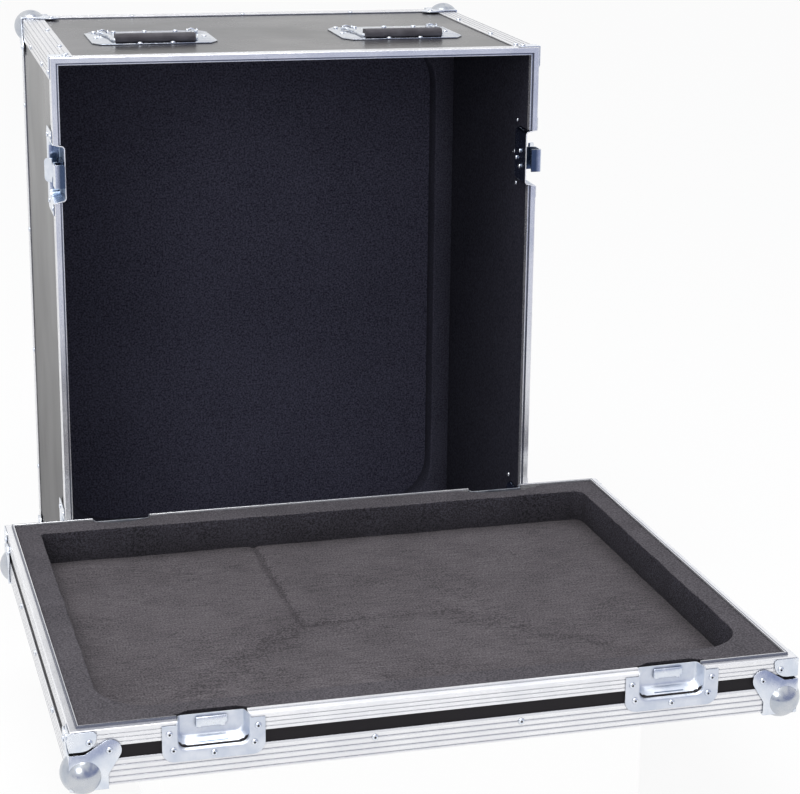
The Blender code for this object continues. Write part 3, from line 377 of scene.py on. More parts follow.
lid_dark, lid_light = (0.044, 0.041, 0.047), (0.128, 0.119, 0.132)
lid_foam = foam_finish("foam_in_the_lid", lid_dark, lid_light, 1.0, None, True)
foam_low, foam_in = 0.0091, 0.0109
cavity = (0.0411, 0.0496, 0.7924, 0.6174)
cavity_corners = (0.014, 0.005, 0.062, 0.058)
foam_outside = (foam_in, foam_in, lid_long - foam_in, lid_wide - foam_in)
notches = [(middle, strike_half, strike_in) for middle in strike_spots]
foam_high = lid_deep - foam_low
frame_mesh = foam_frame(cavity, cavity_corners, foam_outside, foam_high, notches, 0.0016)
frame_mesh.transform(lid_at @ Matrix.Translation((0.0, 0.0, foam_low)))
foam_rim = new_piece("lid_foam_rim", frame_mesh, lid_foam, "lid", ["lid_foam_frame"], 60.0)

seams = (
    ((0.325, 0.620), (0.326, 0.324), 0.0024, 0.0048),
    ((0.326, 0.324), (0.400, 0.337), 0.0020, 0.0060),
    ((0.400, 0.337), (0.520, 0.326), 0.0010, 0.0120),
    ((0.322, 0.322), (0.223, 0.233), 0.0014, 0.0190),
    ((0.223, 0.233), (0.150, 0.150), 0.0010, 0.0250),
    ((0.528, 0.300), (0.664, 0.194), 0.0009, 0.0190),
)


def crease_depth(x, y):
    """How deep the pad is pressed in at a place, from its seams: start, end, depth, half width."""
    depth = 0.0
    for start, end, deep, wide in seams:
        start, end = Vector(start), Vector(end)
        run = end - start
        share = max(0.0, min(1.0, (Vector((x, y)) - start).dot(run) / run.length_squared))
        away = (Vector((x, y)) - start - run * share).length
        depth = max(depth, deep * math.exp(-((away / wide) ** 2)))
    return depth


pad_top, pad_gap, deepest_fold = 0.0241, 0.0004, 0.0024
work = bmesh.new()
fold = work.verts.layers.float.new("fold")
columns, lines = 200, 168
middle_x, middle_y = (cavity[0] + cavity[2]) / 2, (cavity[1] + cavity[3]) / 2
half_x = (cavity[2] - cavity[0]) / 2 - pad_gap
half_y = (cavity[3] - cavity[1]) / 2 - pad_gap
which_corner = {(True, True): 0, (False, True): 1, (False, False): 2, (True, False): 3}
sheet = []
for i in range(columns + 1):
    line = []
    for j in range(lines + 1):
        x = (i / columns * 2 - 1) * half_x
        y = (j / lines * 2 - 1) * half_y
        radius = cavity_corners[which_corner[(x > 0, y > 0)]]
        corner_x, corner_y = abs(x) - (half_x - radius), abs(y) - (half_y - radius)
        if corner_x > 0 and corner_y > 0:
            limit = max(corner_x, corner_y) / math.hypot(corner_x, corner_y)
            x = math.copysign(half_x - radius + corner_x * limit, x)
            y = math.copysign(half_y - radius + corner_y * limit, y)
        place = Vector((x, y, 0.0))
        level = 0.0009 * noise.noise(place / 0.09) + 0.0004 * noise.noise(place / 0.02)
        depth = crease_depth(x + middle_x, y + middle_y)
        vertex = work.verts.new((x, y, pad_top + level - depth - pad_gap))
        vertex[fold] = depth / deepest_fold
        line.append(vertex)
    sheet.append(line)
for i in range(columns):
    for j in range(lines):
        work.faces.new((sheet[i][j], sheet[i + 1][j], sheet[i + 1][j + 1], sheet[i][j + 1]))
rim_edges = [edge for edge in work.edges if edge.is_boundary]
lowered = bmesh.ops.extrude_edge_only(work, edges=rim_edges)["geom"]
for vertex in [item for item in lowered if isinstance(item, bmesh.types.BMVert)]:
    vertex.co.z = foam_low
bmesh.ops.holes_fill(work, edges=[edge for edge in work.edges if edge.is_boundary])
bmesh.ops.recalc_face_normals(work, faces=work.faces)
pad_mesh = mesh_of(work, "pad")
pad_mesh.transform(lid_at @ Matrix.Translation((middle_x, middle_y, 0.0)))

pad_dark, pad_light = (0.050, 0.045, 0.050), (0.158, 0.144, 0.155)
pad_foam = foam_finish("foam_pad", pad_dark, pad_light, 1.0, "fold")
pad = new_piece("lid_foam_floor", pad_mesh, pad_foam, "lid", ["lid_foam_pad"], 60.0)

# Ribbed edge extrusions and the closing extrusions round both openings: drawn aluminium with
# fine lengthwise lines, mitred at the corners and riveted through the ply. The closing pieces
# carry the folded corner braces of zinc plated sheet.

body_at = Matrix.Translation((0.0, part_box("body_closing_left")[0].y, 0.0))
case_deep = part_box("body_edge_back_frame")[1].y - body_at.translation.y
line_width, line_length = 0.0006, 0.25


def streaks(tree, at, along):
    """Fine lines drawn along one axis: noise stretched along it."""
    stretch = [1.0 / line_width] * 3
    stretch[along] = 1.0 / line_length
    scaled = put(tree, "Mapping", {"Vector": at, "Scale": stretch})
    sockets = {"Vector": scaled.outputs[0], "Scale": 1.0, "Detail": 3.0}
    return put(tree, "TexNoise", sockets).outputs["Fac"]


def soft_edge(tree, bump, radius=0.0005):
    """Rounds the look of hard edges by a small radius."""
    round_off = put(tree, "Bevel", {"Radius": radius}, samples=4)
    tree.links.new(round_off.outputs[0], bump.inputs["Normal"])


def zinc_values(tree, at, tone=1.0):
    """Colour, roughness and height of zinc plating, bright or duller by a tone."""
    bloom = clouds(tree, at, 0.018, 5.0)
    fine = clouds(tree, at, 0.0016, 3.0)
    dark, light = toned((0.66, 0.71, 0.80), tone), toned((0.83, 0.86, 0.91), tone)
    colour = between(tree, spread(tree, bloom, 0.0, 1.0), dark, light)
    rough = sums(tree, "ADD", spread(tree, bloom, 0.15, 0.26), spread(tree, fine, 0.0, 0.05))
    return colour, rough, fine


def near(tree, value, middle, half):
    """One where a value is within a half width of a middle, and else nothing."""
    return put(tree, "Math", {0: value, 1: middle, 2: half}, operation="COMPARE").outputs[0]


rib_first, rib_pitch = 0.0033, 0.0066
land_width, step_half, step_line = 0.0076, 0.0007, 0.0010
brace_over = 0.00015


def metal_finish(name, frame_of, rim=False, dull_share=0.10, rib_shade=0.5, tone=1.0, step_shadow=0.85):
    """Drawn aluminium: lines along each bar, painted shade across its ribbing or a painted shadow line
    at a rim's step, the braces on a rim, and painted shade in corners.
    """
    made, tree, shader = finish(name, (0.87, 0.875, 0.885), 0.32, 1.0 - dull_share)
    at = spot(tree)
    first, second, share, inward, depth = frame_of(tree, at)
    ways = {"Factor": share, 2: streaks(tree, at, first), 3: streaks(tree, at, second)}
    lines = put(tree, "Mix", ways).outputs[0]
    dull = clouds(tree, at, 0.06, 5.0)
    dark, light = toned((0.83, 0.835, 0.86), tone), toned((0.94, 0.94, 0.95), tone)
    colour = between(tree, spread(tree, dull, 0.0, 1.0), dark, light)
    colour = between(tree, spread(tree, lines, 0.0, 0.16), colour, (0.66, 0.67, 0.71))
    rough = sums(tree, "ADD", spread(tree, lines, 0.17, 0.25), spread(tree, dull, 0.0, 0.07))
    if rim:
        # Painted shadow: a dark line where the rim steps down beside its land.
        beside_land = near(tree, inward, land_width + step_half, step_line)
        step = sums(tree, "MULTIPLY", beside_land, step_shadow)
        colour = between(tree, step, colour, (0.06, 0.07, 0.12))
    else:
        # Painted shade across the ribbing: grey bands in the valleys between lighter ridges.
        across = sums(tree, "SUBTRACT", sums(tree, "MAXIMUM", inward, depth), rib_first)
        turns = sums(tree, "DIVIDE", across, rib_pitch / (2 * math.pi))
        wave = put(tree, "Math", {0: turns}, operation="COSINE").outputs[0]
        shaded = spread(tree, wave, 0.0, rib_shade, 0.0, 0.55)
        colour = between(tree, shaded, colour, (0.55, 0.56, 0.62))
    height = lines
    if rim:
        mask = sums(tree, "LESS_THAN", inward, -brace_over)
        zinc_colour, zinc_rough, zinc_fine = zinc_values(tree, at)
        colour = between(tree, mask, colour, zinc_colour)
        rough = put(tree, "Mix", {"Factor": mask, 2: rough, 3: zinc_rough}).outputs[0]
        height = put(tree, "Mix", {"Factor": mask, 2: lines, 3: zinc_fine}).outputs[0]
    # Painted shade in corners and along what stands on the metal.
    colour = paint_shade(tree, colour, 0.004, (0.22, 0.23, 0.27))
    soft_edge(tree, colour_in(tree, shader, colour, rough, height, 0.00004, 0.35))
    return made


def beyond(tree, at, middle, halves, axes):
    """How far a point is inside each pair of sides of a rectangle, and its coordinates."""
    parts = put(tree, "SeparateXYZ", {0: at})
    off = []
    for axis, centre, half in zip(axes, middle, halves):
        away = sums(tree, "SUBTRACT", parts.outputs[axis], centre)
        away = put(tree, "Math", {0: away}, operation="ABSOLUTE").outputs[0]
        off.append(sums(tree, "SUBTRACT", half, away))
    return off, parts


def case_frame(tree, at):
    """Lines along the bars of the body's upright frames, and how far in and how deep a point is."""
    off, parts = beyond(tree, at, (0.0, case_high / 2), (half_wide, case_high / 2), (0, 2))
    depth = sums(tree, "SUBTRACT", body_at.translation.y + case_deep, parts.outputs[1])
    share = sums(tree, "LESS_THAN", off[0], off[1])
    return 0, 2, share, sums(tree, "MINIMUM", off[0], off[1]), depth


def case_bar(tree, at):
    """Lines from front to back along the bars of the body's long edges."""
    off, _ = beyond(tree, at, (0.0, case_high / 2), (half_wide, case_high / 2), (0, 2))
    return 1, 1, 0.0, off[0], off[1]


def lid_frame(tree, at):
    """Lines along each bar of the lid's frames, and how far in and how deep a point is."""
    shifted = put(tree, "VectorMath", {0: at, 1: lid_at.translation}, operation="SUBTRACT")
    sockets = {"Vector": shifted.outputs[0], "Axis": (0.0, 0.0, 1.0), "Angle": -lid_turn}
    local = put(tree, "VectorRotate", sockets).outputs[0]
    half_sides = (lid_long / 2, lid_wide / 2)
    off, parts = beyond(tree, local, half_sides, half_sides, (0, 1))
    share = sums(tree, "LESS_THAN", off[0], off[1])
    return 0, 1, share, sums(tree, "MINIMUM", off[0], off[1]), parts.outputs[2]


levels, sides = ("base", "top"), ("left", "right")
depth_bars = [f"body_edge_{level}_{side}" for level in levels for side in sides]
# The bars take a darker copy of the aluminium, with fainter rib shade: painted shade.
dress(depth_bars, metal_finish("aluminium_bars", case_bar, rib_shade=0.18, tone=0.86))
dress(["body_edge_back_frame"], metal_finish("aluminium_back_frame", case_frame, rib_shade=0.3))
body_rims = [f"body_closing_{side}" for side in ("base", "top", "left", "right")]
dress(body_rims, metal_finish("aluminium_body_rim", case_frame, True, 0.22))
dress(["lid_edge_frame"], metal_finish("aluminium_lid_frame", lid_frame))
lid_rims = [f"lid_closing_{side}" for side in ("left", "right", "back")]
dress(lid_rims, metal_finish("aluminium_lid_rim", lid_frame, True, 0.30))
# The lid's front rim takes a lighter, less metallic copy of the rim finish with almost no step line:
# painted light on the front face.
lid_front = metal_finish("aluminium_lid_front", lid_frame, True, 0.80, tone=1.03, step_shadow=0.05)
dress(["lid_closing_front"], lid_front)

# Ball corners on the four back corners of the body and under the four corners of the lid.
# Pressed from thick zinc plated sheet: a hollow ball over the corner and a lobed plate on each
# of the three faces, with one rivet through each lobe.


def zinc_finish(name, tone=1.0, duller=0.0):
    """Zinc plated sheet, with painted shade along what stands on it."""
    made, tree, shader = finish(name, (0.70, 0.74, 0.79), 0.28, 1.0)
    colour, rough, fine = zinc_values(tree, spot(tree), tone)
    rough = sums(tree, "ADD", rough, duller)
    # Painted shade in corners and along what stands on the sheet.
    colour = paint_shade(tree, colour, 0.005, (0.20, 0.22, 0.28))
    soft_edge(tree, colour_in(tree, shader, colour, rough, fine, 0.00005, 0.3), 0.0006)
    return made


zinc = zinc_finish("zinc_plating")
# The balls take a darker copy of the zinc: painted shade for the dark surroundings that they mirror.
ball_zinc = zinc_finish("zinc_of_the_balls", 0.70)

ball_radius, ball_in, cutter_size = 0.024, 0.0135, 0.1
plate_reach, plate_sheet, seat_gap = 0.0395, 0.0018, 0.0003
lobe_at, lobe_radius, lobe_foot = 0.0415, 0.0125, 0.0145


def slab(points, low, high):
    """A flat piece drawn from an outline, between two levels."""
    work = bmesh.new()
    face = work.faces.new([work.verts.new((x, y, low)) for x, y in points])
    drawn = bmesh.ops.extrude_face_region(work, geom=[face])["geom"]
    moved = [item for item in drawn if isinstance(item, bmesh.types.BMVert)]
    bmesh.ops.translate(work, vec=(0.0, 0.0, high - low), verts=moved)
    bmesh.ops.recalc_face_normals(work, faces=work.faces)
    return mesh_of(work, "slab")


def bend(centre, radius, start, end, steps):
    """Points round an arc, angles in degrees."""
    made = []
    for step in range(steps + 1):
        angle = math.radians(start + (end - start) * step / steps)
        made.append((centre[0] + radius * math.cos(angle), centre[1] + radius * math.sin(angle)))
    return made


def loose(mesh):
    """A hidden object that holds a mesh while it is cut or joined."""
    made = bpy.data.objects.new("loose", mesh)
    bpy.context.scene.collection.objects.link(made)
    return made


def shaped(mesh, joins=(), cuts=(), round_off=0.0, steps=2, angle=32.0):
    """A mesh joined with others, cut by others, and with its edges rounded off."""
    work = loose(mesh)
    tools = []
    for kind, others in (("UNION", joins), ("DIFFERENCE", cuts)):
        for other in others:
            tool = loose(other)
            tools.append(tool)
            change = work.modifiers.new(kind, "BOOLEAN")
            change.operation = kind
            change.solver = "EXACT"
            change.object = tool
    if round_off:
        change = work.modifiers.new("rounded", "BEVEL")
        change.width = round_off
        change.segments = steps
        change.limit_method = "ANGLE"
        change.angle_limit = math.radians(angle)
        change.use_clamp_overlap = True
    graph = bpy.context.evaluated_depsgraph_get()
    made = bpy.data.meshes.new_from_object(work.evaluated_get(graph))
    for item in tools + [work]:
        bpy.data.objects.remove(item, do_unlink=True)
    return made


def placed(first, second, third, origin=(0.0, 0.0, 0.0)):
    """The matrix that turns X, Y and Z to three directions and moves them to an origin."""
    return Matrix.Translation(origin) @ Matrix((first, second, third)).transposed().to_4x4()


work = bmesh.new()
bmesh.ops.create_uvsphere(work, u_segments=56, v_segments=30, radius=ball_radius)
bmesh.ops.translate(work, vec=(ball_in,) * 3, verts=work.verts)
ball_mesh = mesh_of(work, "ball")
out = -seat_gap - plate_sheet
plate_outline = [(out, out), (plate_reach, out), (plate_reach, lobe_foot)]
plate_outline += bend((lobe_at, lobe_at), lobe_radius, -27.0, 117.0, 20)
plate_outline += [(lobe_foot, plate_reach), (out, plate_reach)]
plates = [slab(plate_outline, out, plate_sheet) for face in range(3)]
plates[1].transform(placed((0, 1, 0), (0, 0, 1), (1, 0, 0)))
plates[2].transform(placed((0, 0, 1), (1, 0, 0), (0, 1, 0)))
work = bmesh.new()
bmesh.ops.create_cube(work, size=cutter_size)
bmesh.ops.translate(work, vec=(cutter_size / 2 - seat_gap,) * 3, verts=work.verts)
inside_mesh = mesh_of(work, "inside")
corner_mesh = shaped(plates[0], [plates[1], plates[2], ball_mesh], [inside_mesh], 0.0007, 2)
corner_mesh.materials.append(zinc)
corner_mesh.materials.append(ball_zinc)
for face in corner_mesh.polygons:
    away = (face.center - Vector((ball_in,) * 3)).length
    face.material_index = int(abs(away - ball_radius) < 0.0004)

rivets = {"case": [], "lid": []}


def rivet(body, place, point, way):
    """Notes a rivet of a body: its place and the way that its head faces."""
    rivets[body].append((place @ Vector(point), place.to_3x3() @ Vector(way)))


def ball_corner(name, node, body, base, origin, legs):
    """Fits a ball corner, its legs put in an order that keeps it right-handed, and its rivets."""
    first, second, third = legs
    if Vector(first).cross(Vector(second)).dot(Vector(third)) < 0:
        first, second = second, first
    place = base @ placed(first, second, third, origin)
    mesh = corner_mesh.copy()
    mesh.transform(place)
    new_piece(name, mesh, None, body, [node], 40.0)
    for turn in range(3):
        point, way = [0.0] * 3, [0.0] * 3
        point[turn], point[(turn + 1) % 3], point[(turn + 2) % 3] = 0.042, 0.041, out
        way[(turn + 2) % 3] = -1.0
        rivet(body, place, point, way)


for level, z, up in (("base", 0.0, 1), ("top", case_high, -1)):
    for side, way in (("left", -1), ("right", 1)):
        name = f"ball_corner_{level}_{side}"
        origin, legs = (way * half_wide, case_deep, z), ((-way, 0, 0), (0, -1, 0), (0, 0, up))
        ball_corner(name, "body_" + name, "case", body_at, origin, legs)
for end, x, way in (("left", 0.0, 1), ("right", lid_long, -1)):
    for face, y, back in (("front", 0.0, 1), ("back", lid_wide, -1)):
        node = f"lid_ball_corner_{face}_{end}"
        legs = ((way, 0, 0), (0, back, 0), (0, 0, 1))
        ball_corner(f"lid_ball_{face}_{end}", node, "lid", lid_at, (x, y, 0.0), legs)

# Recessed dishes: four deep ones in the body's sides for the latches, four shallow ones in the
# lid's long sides for their hooks. Each is pressed from zinc plated sheet: a flange riveted over
# the closing extrusion, a rounded lip, a pan with an open front and a rounded floor.

dish_sheet, lip_radius, floor_radius = 0.0012, 0.0022, 0.0035
flange_half, flange_start, pan_deep = 0.056, 0.004, 0.015


def dish_outline(half, end, corner, start, turns=7, runs=6):
    """A U from the rim down round the closed end of a dish: (along, in) pairs."""
    left = [(half, start + (end - corner - start) * n / runs) for n in range(runs)]
    points = left + bend((half - corner, end - corner), corner, 0.0, 90.0, turns)
    points += [((half - corner) * (1 - 2 * n / runs), end) for n in range(1, runs)]
    points += bend((corner - half, end - corner), corner, 90.0, 180.0, turns)
    return points + [(-x, y) for x, y in reversed(left)]


def pressed_dish(recess_half, recess_end, flange_end, end_slope, side_slope):
    """A dish as nested outlines from its flange's edge to its floor: X out, Y in, Z along."""
    top = seat_gap + dish_sheet
    loops = [(flange_half, flange_end, 0.014, flange_start, top)]
    loops += [(recess_half + 0.008, recess_end + 0.006, 0.015, flange_start, top)]
    loops += [(recess_half + lip_radius, recess_end + lip_radius, 0.0112, flange_start, top)]
    for step in range(1, 5):
        angle = math.pi / 2 * step / 4
        out_by = lip_radius * (1 - math.sin(angle))
        level = top - lip_radius * (1 - math.cos(angle))
        start = flange_start + (seat_gap - flange_start) * min(1.0, step / 3)
        loops.append((recess_half + out_by, recess_end + out_by, 0.009 + out_by, start, level))
    low = seat_gap - pan_deep + floor_radius
    for step in range(1, 4):
        part = step / 3
        level = top - lip_radius + (low - top + lip_radius) * part
        loops.append(
            (recess_half - side_slope * part, recess_end - end_slope * part, 0.009, seat_gap, level)
        )
    for step in range(1, 5):
        angle = math.pi / 2 * step / 4
        in_by = floor_radius * (1 - math.cos(angle))
        level = low - floor_radius * math.sin(angle)
        half, end = recess_half - side_slope - in_by, recess_end - end_slope - in_by
        loops.append((half, end, max(0.009 - in_by, 0.004), seat_gap, level))
    work = bmesh.new()
    rows = []
    for half, end, corner, start, level in loops:
        row = [work.verts.new((level, y, z)) for z, y in dish_outline(half, end, corner, start)]
        rows.append(row)
    for here, there in zip(rows, rows[1:]):
        for i in range(len(here) - 1):
            work.faces.new((here[i], here[i + 1], there[i + 1], there[i]))
    work.faces.new(list(reversed(rows[-1])))
    bmesh.ops.recalc_face_normals(work, faces=work.faces)
    if work.faces[0].normal.x < 0:
        bmesh.ops.reverse_faces(work, faces=work.faces)
    holder = loose(mesh_of(work, "dish"))
    change = holder.modifiers.new("sheet", "SOLIDIFY")
    change.thickness = dish_sheet
    change.offset = -1.0
    graph = bpy.context.evaluated_depsgraph_get()
    made = bpy.data.meshes.new_from_object(holder.evaluated_get(graph))
    bpy.data.objects.remove(holder, do_unlink=True)
    return made


latch_spots, strike_at = {}, {}
for height, z in (("lower", strike_from_end), ("upper", case_high - strike_from_end)):
    for side, way in (("left", -1), ("right", 1)):
        place = placed((way, 0, 0), (0, 1, 0), (0, 0, way), (way * half_wide, 0.0, z))
        latch_spots[f"{side}_{height}"] = body_at @ place
for end, x in zip(sides, strike_spots):
    place = placed((0, -1, 0), (0, 0, -1), (1, 0, 0), (x, 0.0, lid_deep))
    strike_at[f"front_{end}"] = lid_at @ place
    place = placed((0, 1, 0), (0, 0, -1), (-1, 0, 0), (x, lid_wide, lid_deep))
    strike_at[f"back_{end}"] = lid_at @ place

latch_dish = pressed_dish(0.0385, 0.058, 0.074, 0.0025, 0.0025)
strike_dish = pressed_dish(0.0385, 0.033, 0.0465, 0.008, 0.0025)


def shaded_metal(name, dark, deep_from, deep_to, edge_highlight=False):
    """Plated metal with painted shade in the depth of a recess and in corners, and a painted highlight
    along its sheet's front edge.
    """
    made, tree, shader = finish(name, (0.70, 0.74, 0.79), 0.2, 1.0)
    at = spot(tree)
    colour, rough, fine = zinc_values(tree, at)
    parts = put(tree, "SeparateXYZ", {0: at})
    side = put(tree, "Math", {0: parts.outputs[0]}, operation="ABSOLUTE").outputs[0]
    depth = sums(tree, "SUBTRACT", half_wide, side)
    # Painted shade: darker the deeper the surface lies in the recess, and again in corners.
    colour = between(tree, spread(tree, depth, 0.0, 1.0, deep_from, deep_to), colour, dark)
    colour = paint_shade(tree, colour, 0.012, toned(dark, 0.5), 0.25, 0.75)
    if edge_highlight:
        # Painted highlight: a near white, matt line along the sheet's front edge.
        highlight_until = body_at.translation.y + seat_gap + 0.0008
        lit_edge = sums(tree, "LESS_THAN", parts.outputs[1], highlight_until)
        colour = between(tree, lit_edge, colour, (0.95, 0.95, 0.97))
        rough = sums(tree, "MAXIMUM", rough, sums(tree, "MULTIPLY", lit_edge, 0.65))
    soft_edge(tree, colour_in(tree, shader, colour, rough, fine, 0.00005, 0.3), 0.0005)
    return made


def fit_dish(kind, key, dish, material, body, place, spots):
    """Fits a dish and notes the rivets of its flange, given along the edge and in from it."""
    mesh = dish.copy()
    mesh.transform(place)
    new_piece(f"{kind}_pan_{key}", mesh, material, body, [f"{kind}_dish_{key}"], 35.0)
    for along, inward in spots:
        rivet(body, place, (seat_gap + dish_sheet, inward, along), (1, 0, 0))


# The pans have painted shade deep in the dish and a painted highlight along their front edge.
pan_zinc = shaded_metal("zinc_latch_pan", (0.22, 0.28, 0.38), 0.0, 0.004, True)
strike_zinc = zinc_finish("zinc_of_the_strikes", 0.97, 0.22)
ears = [(-0.048, 0.0135), (0.048, 0.0135)]
latch_rivets = ears + [(-0.0446, 0.057), (0.0446, 0.057), (0.0, 0.067)]
strike_rivets = ears + [(-0.044, 0.0325), (0.044, 0.0325), (0.0, 0.0395)]
for key, place in latch_spots.items():
    fit_dish("latch", key, latch_dish, pan_zinc, "case", place, latch_rivets)
for key, place in strike_at.items():
    fit_dish("strike", key, strike_dish, strike_zinc, "lid", place, strike_rivets)

# Keepers: the tab in each strike dish that a hook's nose pulls on, a short strip of thick sheet
# with nibbled ends, spot welded to the floor of the dish. Above it, for a short pressed slot, a
# thin dark strip on the sloped wall is painted shade.

keeper_outline = [(-0.017, 0.0032), (0.017, 0.0032), (0.0172, 0.011), (0.0150, 0.0120)]
keeper_outline += [(0.0150, 0.0150), (0.0105, 0.0158), (0.0095, 0.0142), (-0.0112, 0.0142)]
keeper_outline += [(-0.0122, 0.0158), (-0.0150, 0.0150), (-0.0172, 0.0140)]
keeper = shaped(slab(keeper_outline, -0.0150, -0.0108), round_off=0.0008, steps=3)
keeper.transform(placed((0, 0, 1), (0, 1, 0), (-1, 0, 0)))
keeper.transform(Matrix.Scale(-1.0, 4, (1, 0, 0)))
keeper.flip_normals()
slot_outline = [(-0.018, -0.0007), (0.017, -0.0007), (0.017, 0.0007), (-0.018, 0.0007)]
slot_mark = slab(slot_outline, 0.0, 0.0003)
slope_down, slope_out, slot_spot = 0.795, 0.606, (-0.0060, 0.0290, 0.0)
slot_ways = (0, 0, 1), (-slope_down, -slope_out, 0), (slope_out, -slope_down, 0)
slot_mark.transform(placed(*slot_ways, slot_spot))
# Painted shade: a thin dark strip stands for the shade in the pressed slot.
slot_shade, tree, shader = finish("painted_slot_shadow", (0.20, 0.25, 0.34), 0.35, 0.8)
tint = between(tree, clouds(tree, spot(tree), 0.002), (0.14, 0.18, 0.26), (0.28, 0.34, 0.44))
colour_in(tree, shader, tint)
for key, place in strike_at.items():
    for kind, shape, material in (("keeper", keeper, zinc), ("strike_slot", slot_mark, slot_shade)):
        mesh = shape.copy()
        mesh.transform(place)
        new_piece(f"{kind}_{key}", mesh, material, "lid")

# Surface handles on the body's top: a pressed plate with cut corners and two arched ears, a bent
# wire bail through them, and a moulded grip. They lie flat, grip to the front, and lift upright.

rubber, tree, shader = finish("moulded_grip", (0.06, 0.057, 0.064), 0.7)
at = spot(tree)
skin = clouds(tree, at, 0.0012, 3.0)
worn = spread(tree, clouds(tree, at, 0.02, 4.0), 0.0, 1.0)
tint = between(tree, worn, (0.045, 0.042, 0.050), (0.075, 0.071, 0.082))
colour_in(tree, shader, tint, spread(tree, skin, 0.60, 0.74), skin, 0.0002, 0.4)
shader.inputs["Specular IOR Level"].default_value = 0.3
steel, tree, shader = finish("plated_steel", (0.66, 0.69, 0.73), 0.25, 1.0)
at = spot(tree)
fine = clouds(tree, at, 0.003, 4.0)
tint = between(tree, spread(tree, fine, 0.0, 1.0), (0.58, 0.62, 0.67), (0.74, 0.76, 0.79))
matt = spread(tree, fine, 0.20, 0.34)
soft_edge(tree, colour_in(tree, shader, tint, matt, fine, 0.00005, 0.3))

ear_middle, ear_outer, ear_inner, ear_base = 0.0628, 0.0077, 0.0061, 0.0015
pivot_back, pivot_rise, bail_play = 0.028, 0.0052, 0.0026
plate_x, plate_y, cut_x, cut_y = 0.0865, 0.069, 0.011, 0.018
plate_low, plate_top = 0.0003, 0.0018
handle_outline = [(cut_x - plate_x, -plate_y), (plate_x - cut_x, -plate_y), (plate_x, cut_y - plate_y)]
handle_outline += [(plate_x, plate_y - cut_y), (plate_x - cut_x, plate_y), (cut_x - plate_x, plate_y)]
handle_outline += [(-plate_x, plate_y - cut_y), (-plate_x, cut_y - plate_y)]
strap = bend((0.0, ear_base), ear_outer, 0.0, 180.0, 18)
strap += bend((0.0, ear_base), ear_inner, 180.0, 0.0, 14)
cheek = [(-0.0050, 0.0011), (0.0090, 0.0011)] + bend((0.0, pivot_rise), 0.0044, 20.0, 160.0, 10)
bore_outline = bend((pivot_back, pivot_rise), bail_play, 0.0, 345.0, 23)
joins, cuts = [], []
for middle in (-ear_middle, ear_middle):
    roof = slab(strap, 0.0030, 0.0095)
    roof.transform(placed((-1, 0, 0), (0, 0, 1), (0, 1, 0), (middle, pivot_back, 0.0)))
    joins.append(roof)
    for low, high in ((-ear_outer, -ear_inner), (ear_inner, ear_outer)):
        side_ear = slab(cheek, low, high)
        side_ear.transform(placed((0, 1, 0), (0, 0, 1), (1, 0, 0), (middle, pivot_back, 0.0)))
        joins.append(side_ear)
    bore = slab(bore_outline, ear_middle, ear_middle + 0.02)
    bore.transform(placed((0, 1, 0), (0, 0, 1), (1, 0, 0)))
    if middle < 0:
        bore.transform(Matrix.Scale(-1.0, 4, (1, 0, 0)))
        bore.flip_normals()
    cuts.append(bore)
eared_plate = shaped(slab(handle_outline, plate_low, plate_top), joins, cuts, 0.0005, 2)
handle_zinc = zinc_finish("zinc_of_the_handles", 0.80)
handle_rivets = [(-0.0226, -0.0635), (0.0226, -0.0635), (-0.076, 0.0), (0.076, 0.0)]
handle_rivets += [(x, 0.062) for x in (-0.072, -0.044, 0.0, 0.044, 0.072)]
for side in sides:
    low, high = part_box(f"handle_plate_{side}")
    place = Matrix.Translation(((low.x + high.x) / 2, (low.y + high.y) / 2, low.z))
    mesh = eared_plate.copy()
    mesh.transform(place @ Matrix.Translation((0.0, 0.0, -plate_low)))
    new_piece(f"eared_plate_{side}", mesh, handle_zinc, "case", [f"handle_plate_{side}"], 35.0)
    for x, y in handle_rivets:
        rivet("case", place, (x, y, plate_top - plate_low), (0, 0, 1))
dress(["handle_bail_left", "handle_bail_right"], steel)
dress(["handle_grip_left", "handle_grip_right"], rubber)

# Turn latches in the four deep dishes: a hook of thick bent sheet that slides out of the case, a
# turner on the dish's post that draws it in with a crank pin, and a folding wing to turn it by.
# All are zinc plated, with painted shade on what lies deep in the dish and in corners.

# The latches' finish paints shade on what lies deep in the dish and in corners.
moving_zinc = shaded_metal("zinc_latch", (0.10, 0.14, 0.21), 0.0015, 0.0070)
for part in ("hook", "turner", "wing"):
    dress([f"latch_{part}_{key}" for key in latch_spots], moving_zinc)

# Blind rivets: a low dome with a shallow recess in the middle where its stem broke off, painted
# near black as shade, in every fitting and along all the edge extrusions.

rivet_radius, rivet_high, stem_radius = 0.0037, 0.0020, 0.0013
row_in, brace_in, brace_along, brace_sheet = 0.0245, 0.0135, 0.020, 0.0015
ends = ((0.0, -1), (case_high, 1))
for way, row in zip((-1, 1), ((0.118, 0.298), (0.158, 0.331))):
    for y in (0.034,) + row:
        for z, up in reversed(ends):
            rivet("case", body_at, (way * (half_wide - 0.024), y, z), (0, 0, up))
    for y in (0.126, 0.302):
        for z in (row_in, case_high - row_in):
            rivet("case", body_at, (way * half_wide, y, z), (way, 0, 0))
    for z in (0.13, 0.32, 0.51, 0.70):
        rivet("case", body_at, (way * half_wide, case_deep - row_in, z), (way, 0, 0))
        rivet("case", body_at, (way * (half_wide - row_in), case_deep, z), (0, 1, 0))
for x in (-0.168, 0.0, 0.168):
    for z, up in ends:
        rivet("case", body_at, (x, case_deep - row_in, z), (0, 0, up))
    for z in (row_in, case_high - row_in):
        rivet("case", body_at, (x, case_deep, z), (0, 1, 0))
for x in (0.331, 0.499):
    for y, way in ((0.0, -1), (lid_wide, 1)):
        rivet("lid", lid_at, (x, y, 0.023), (0, way, 0))
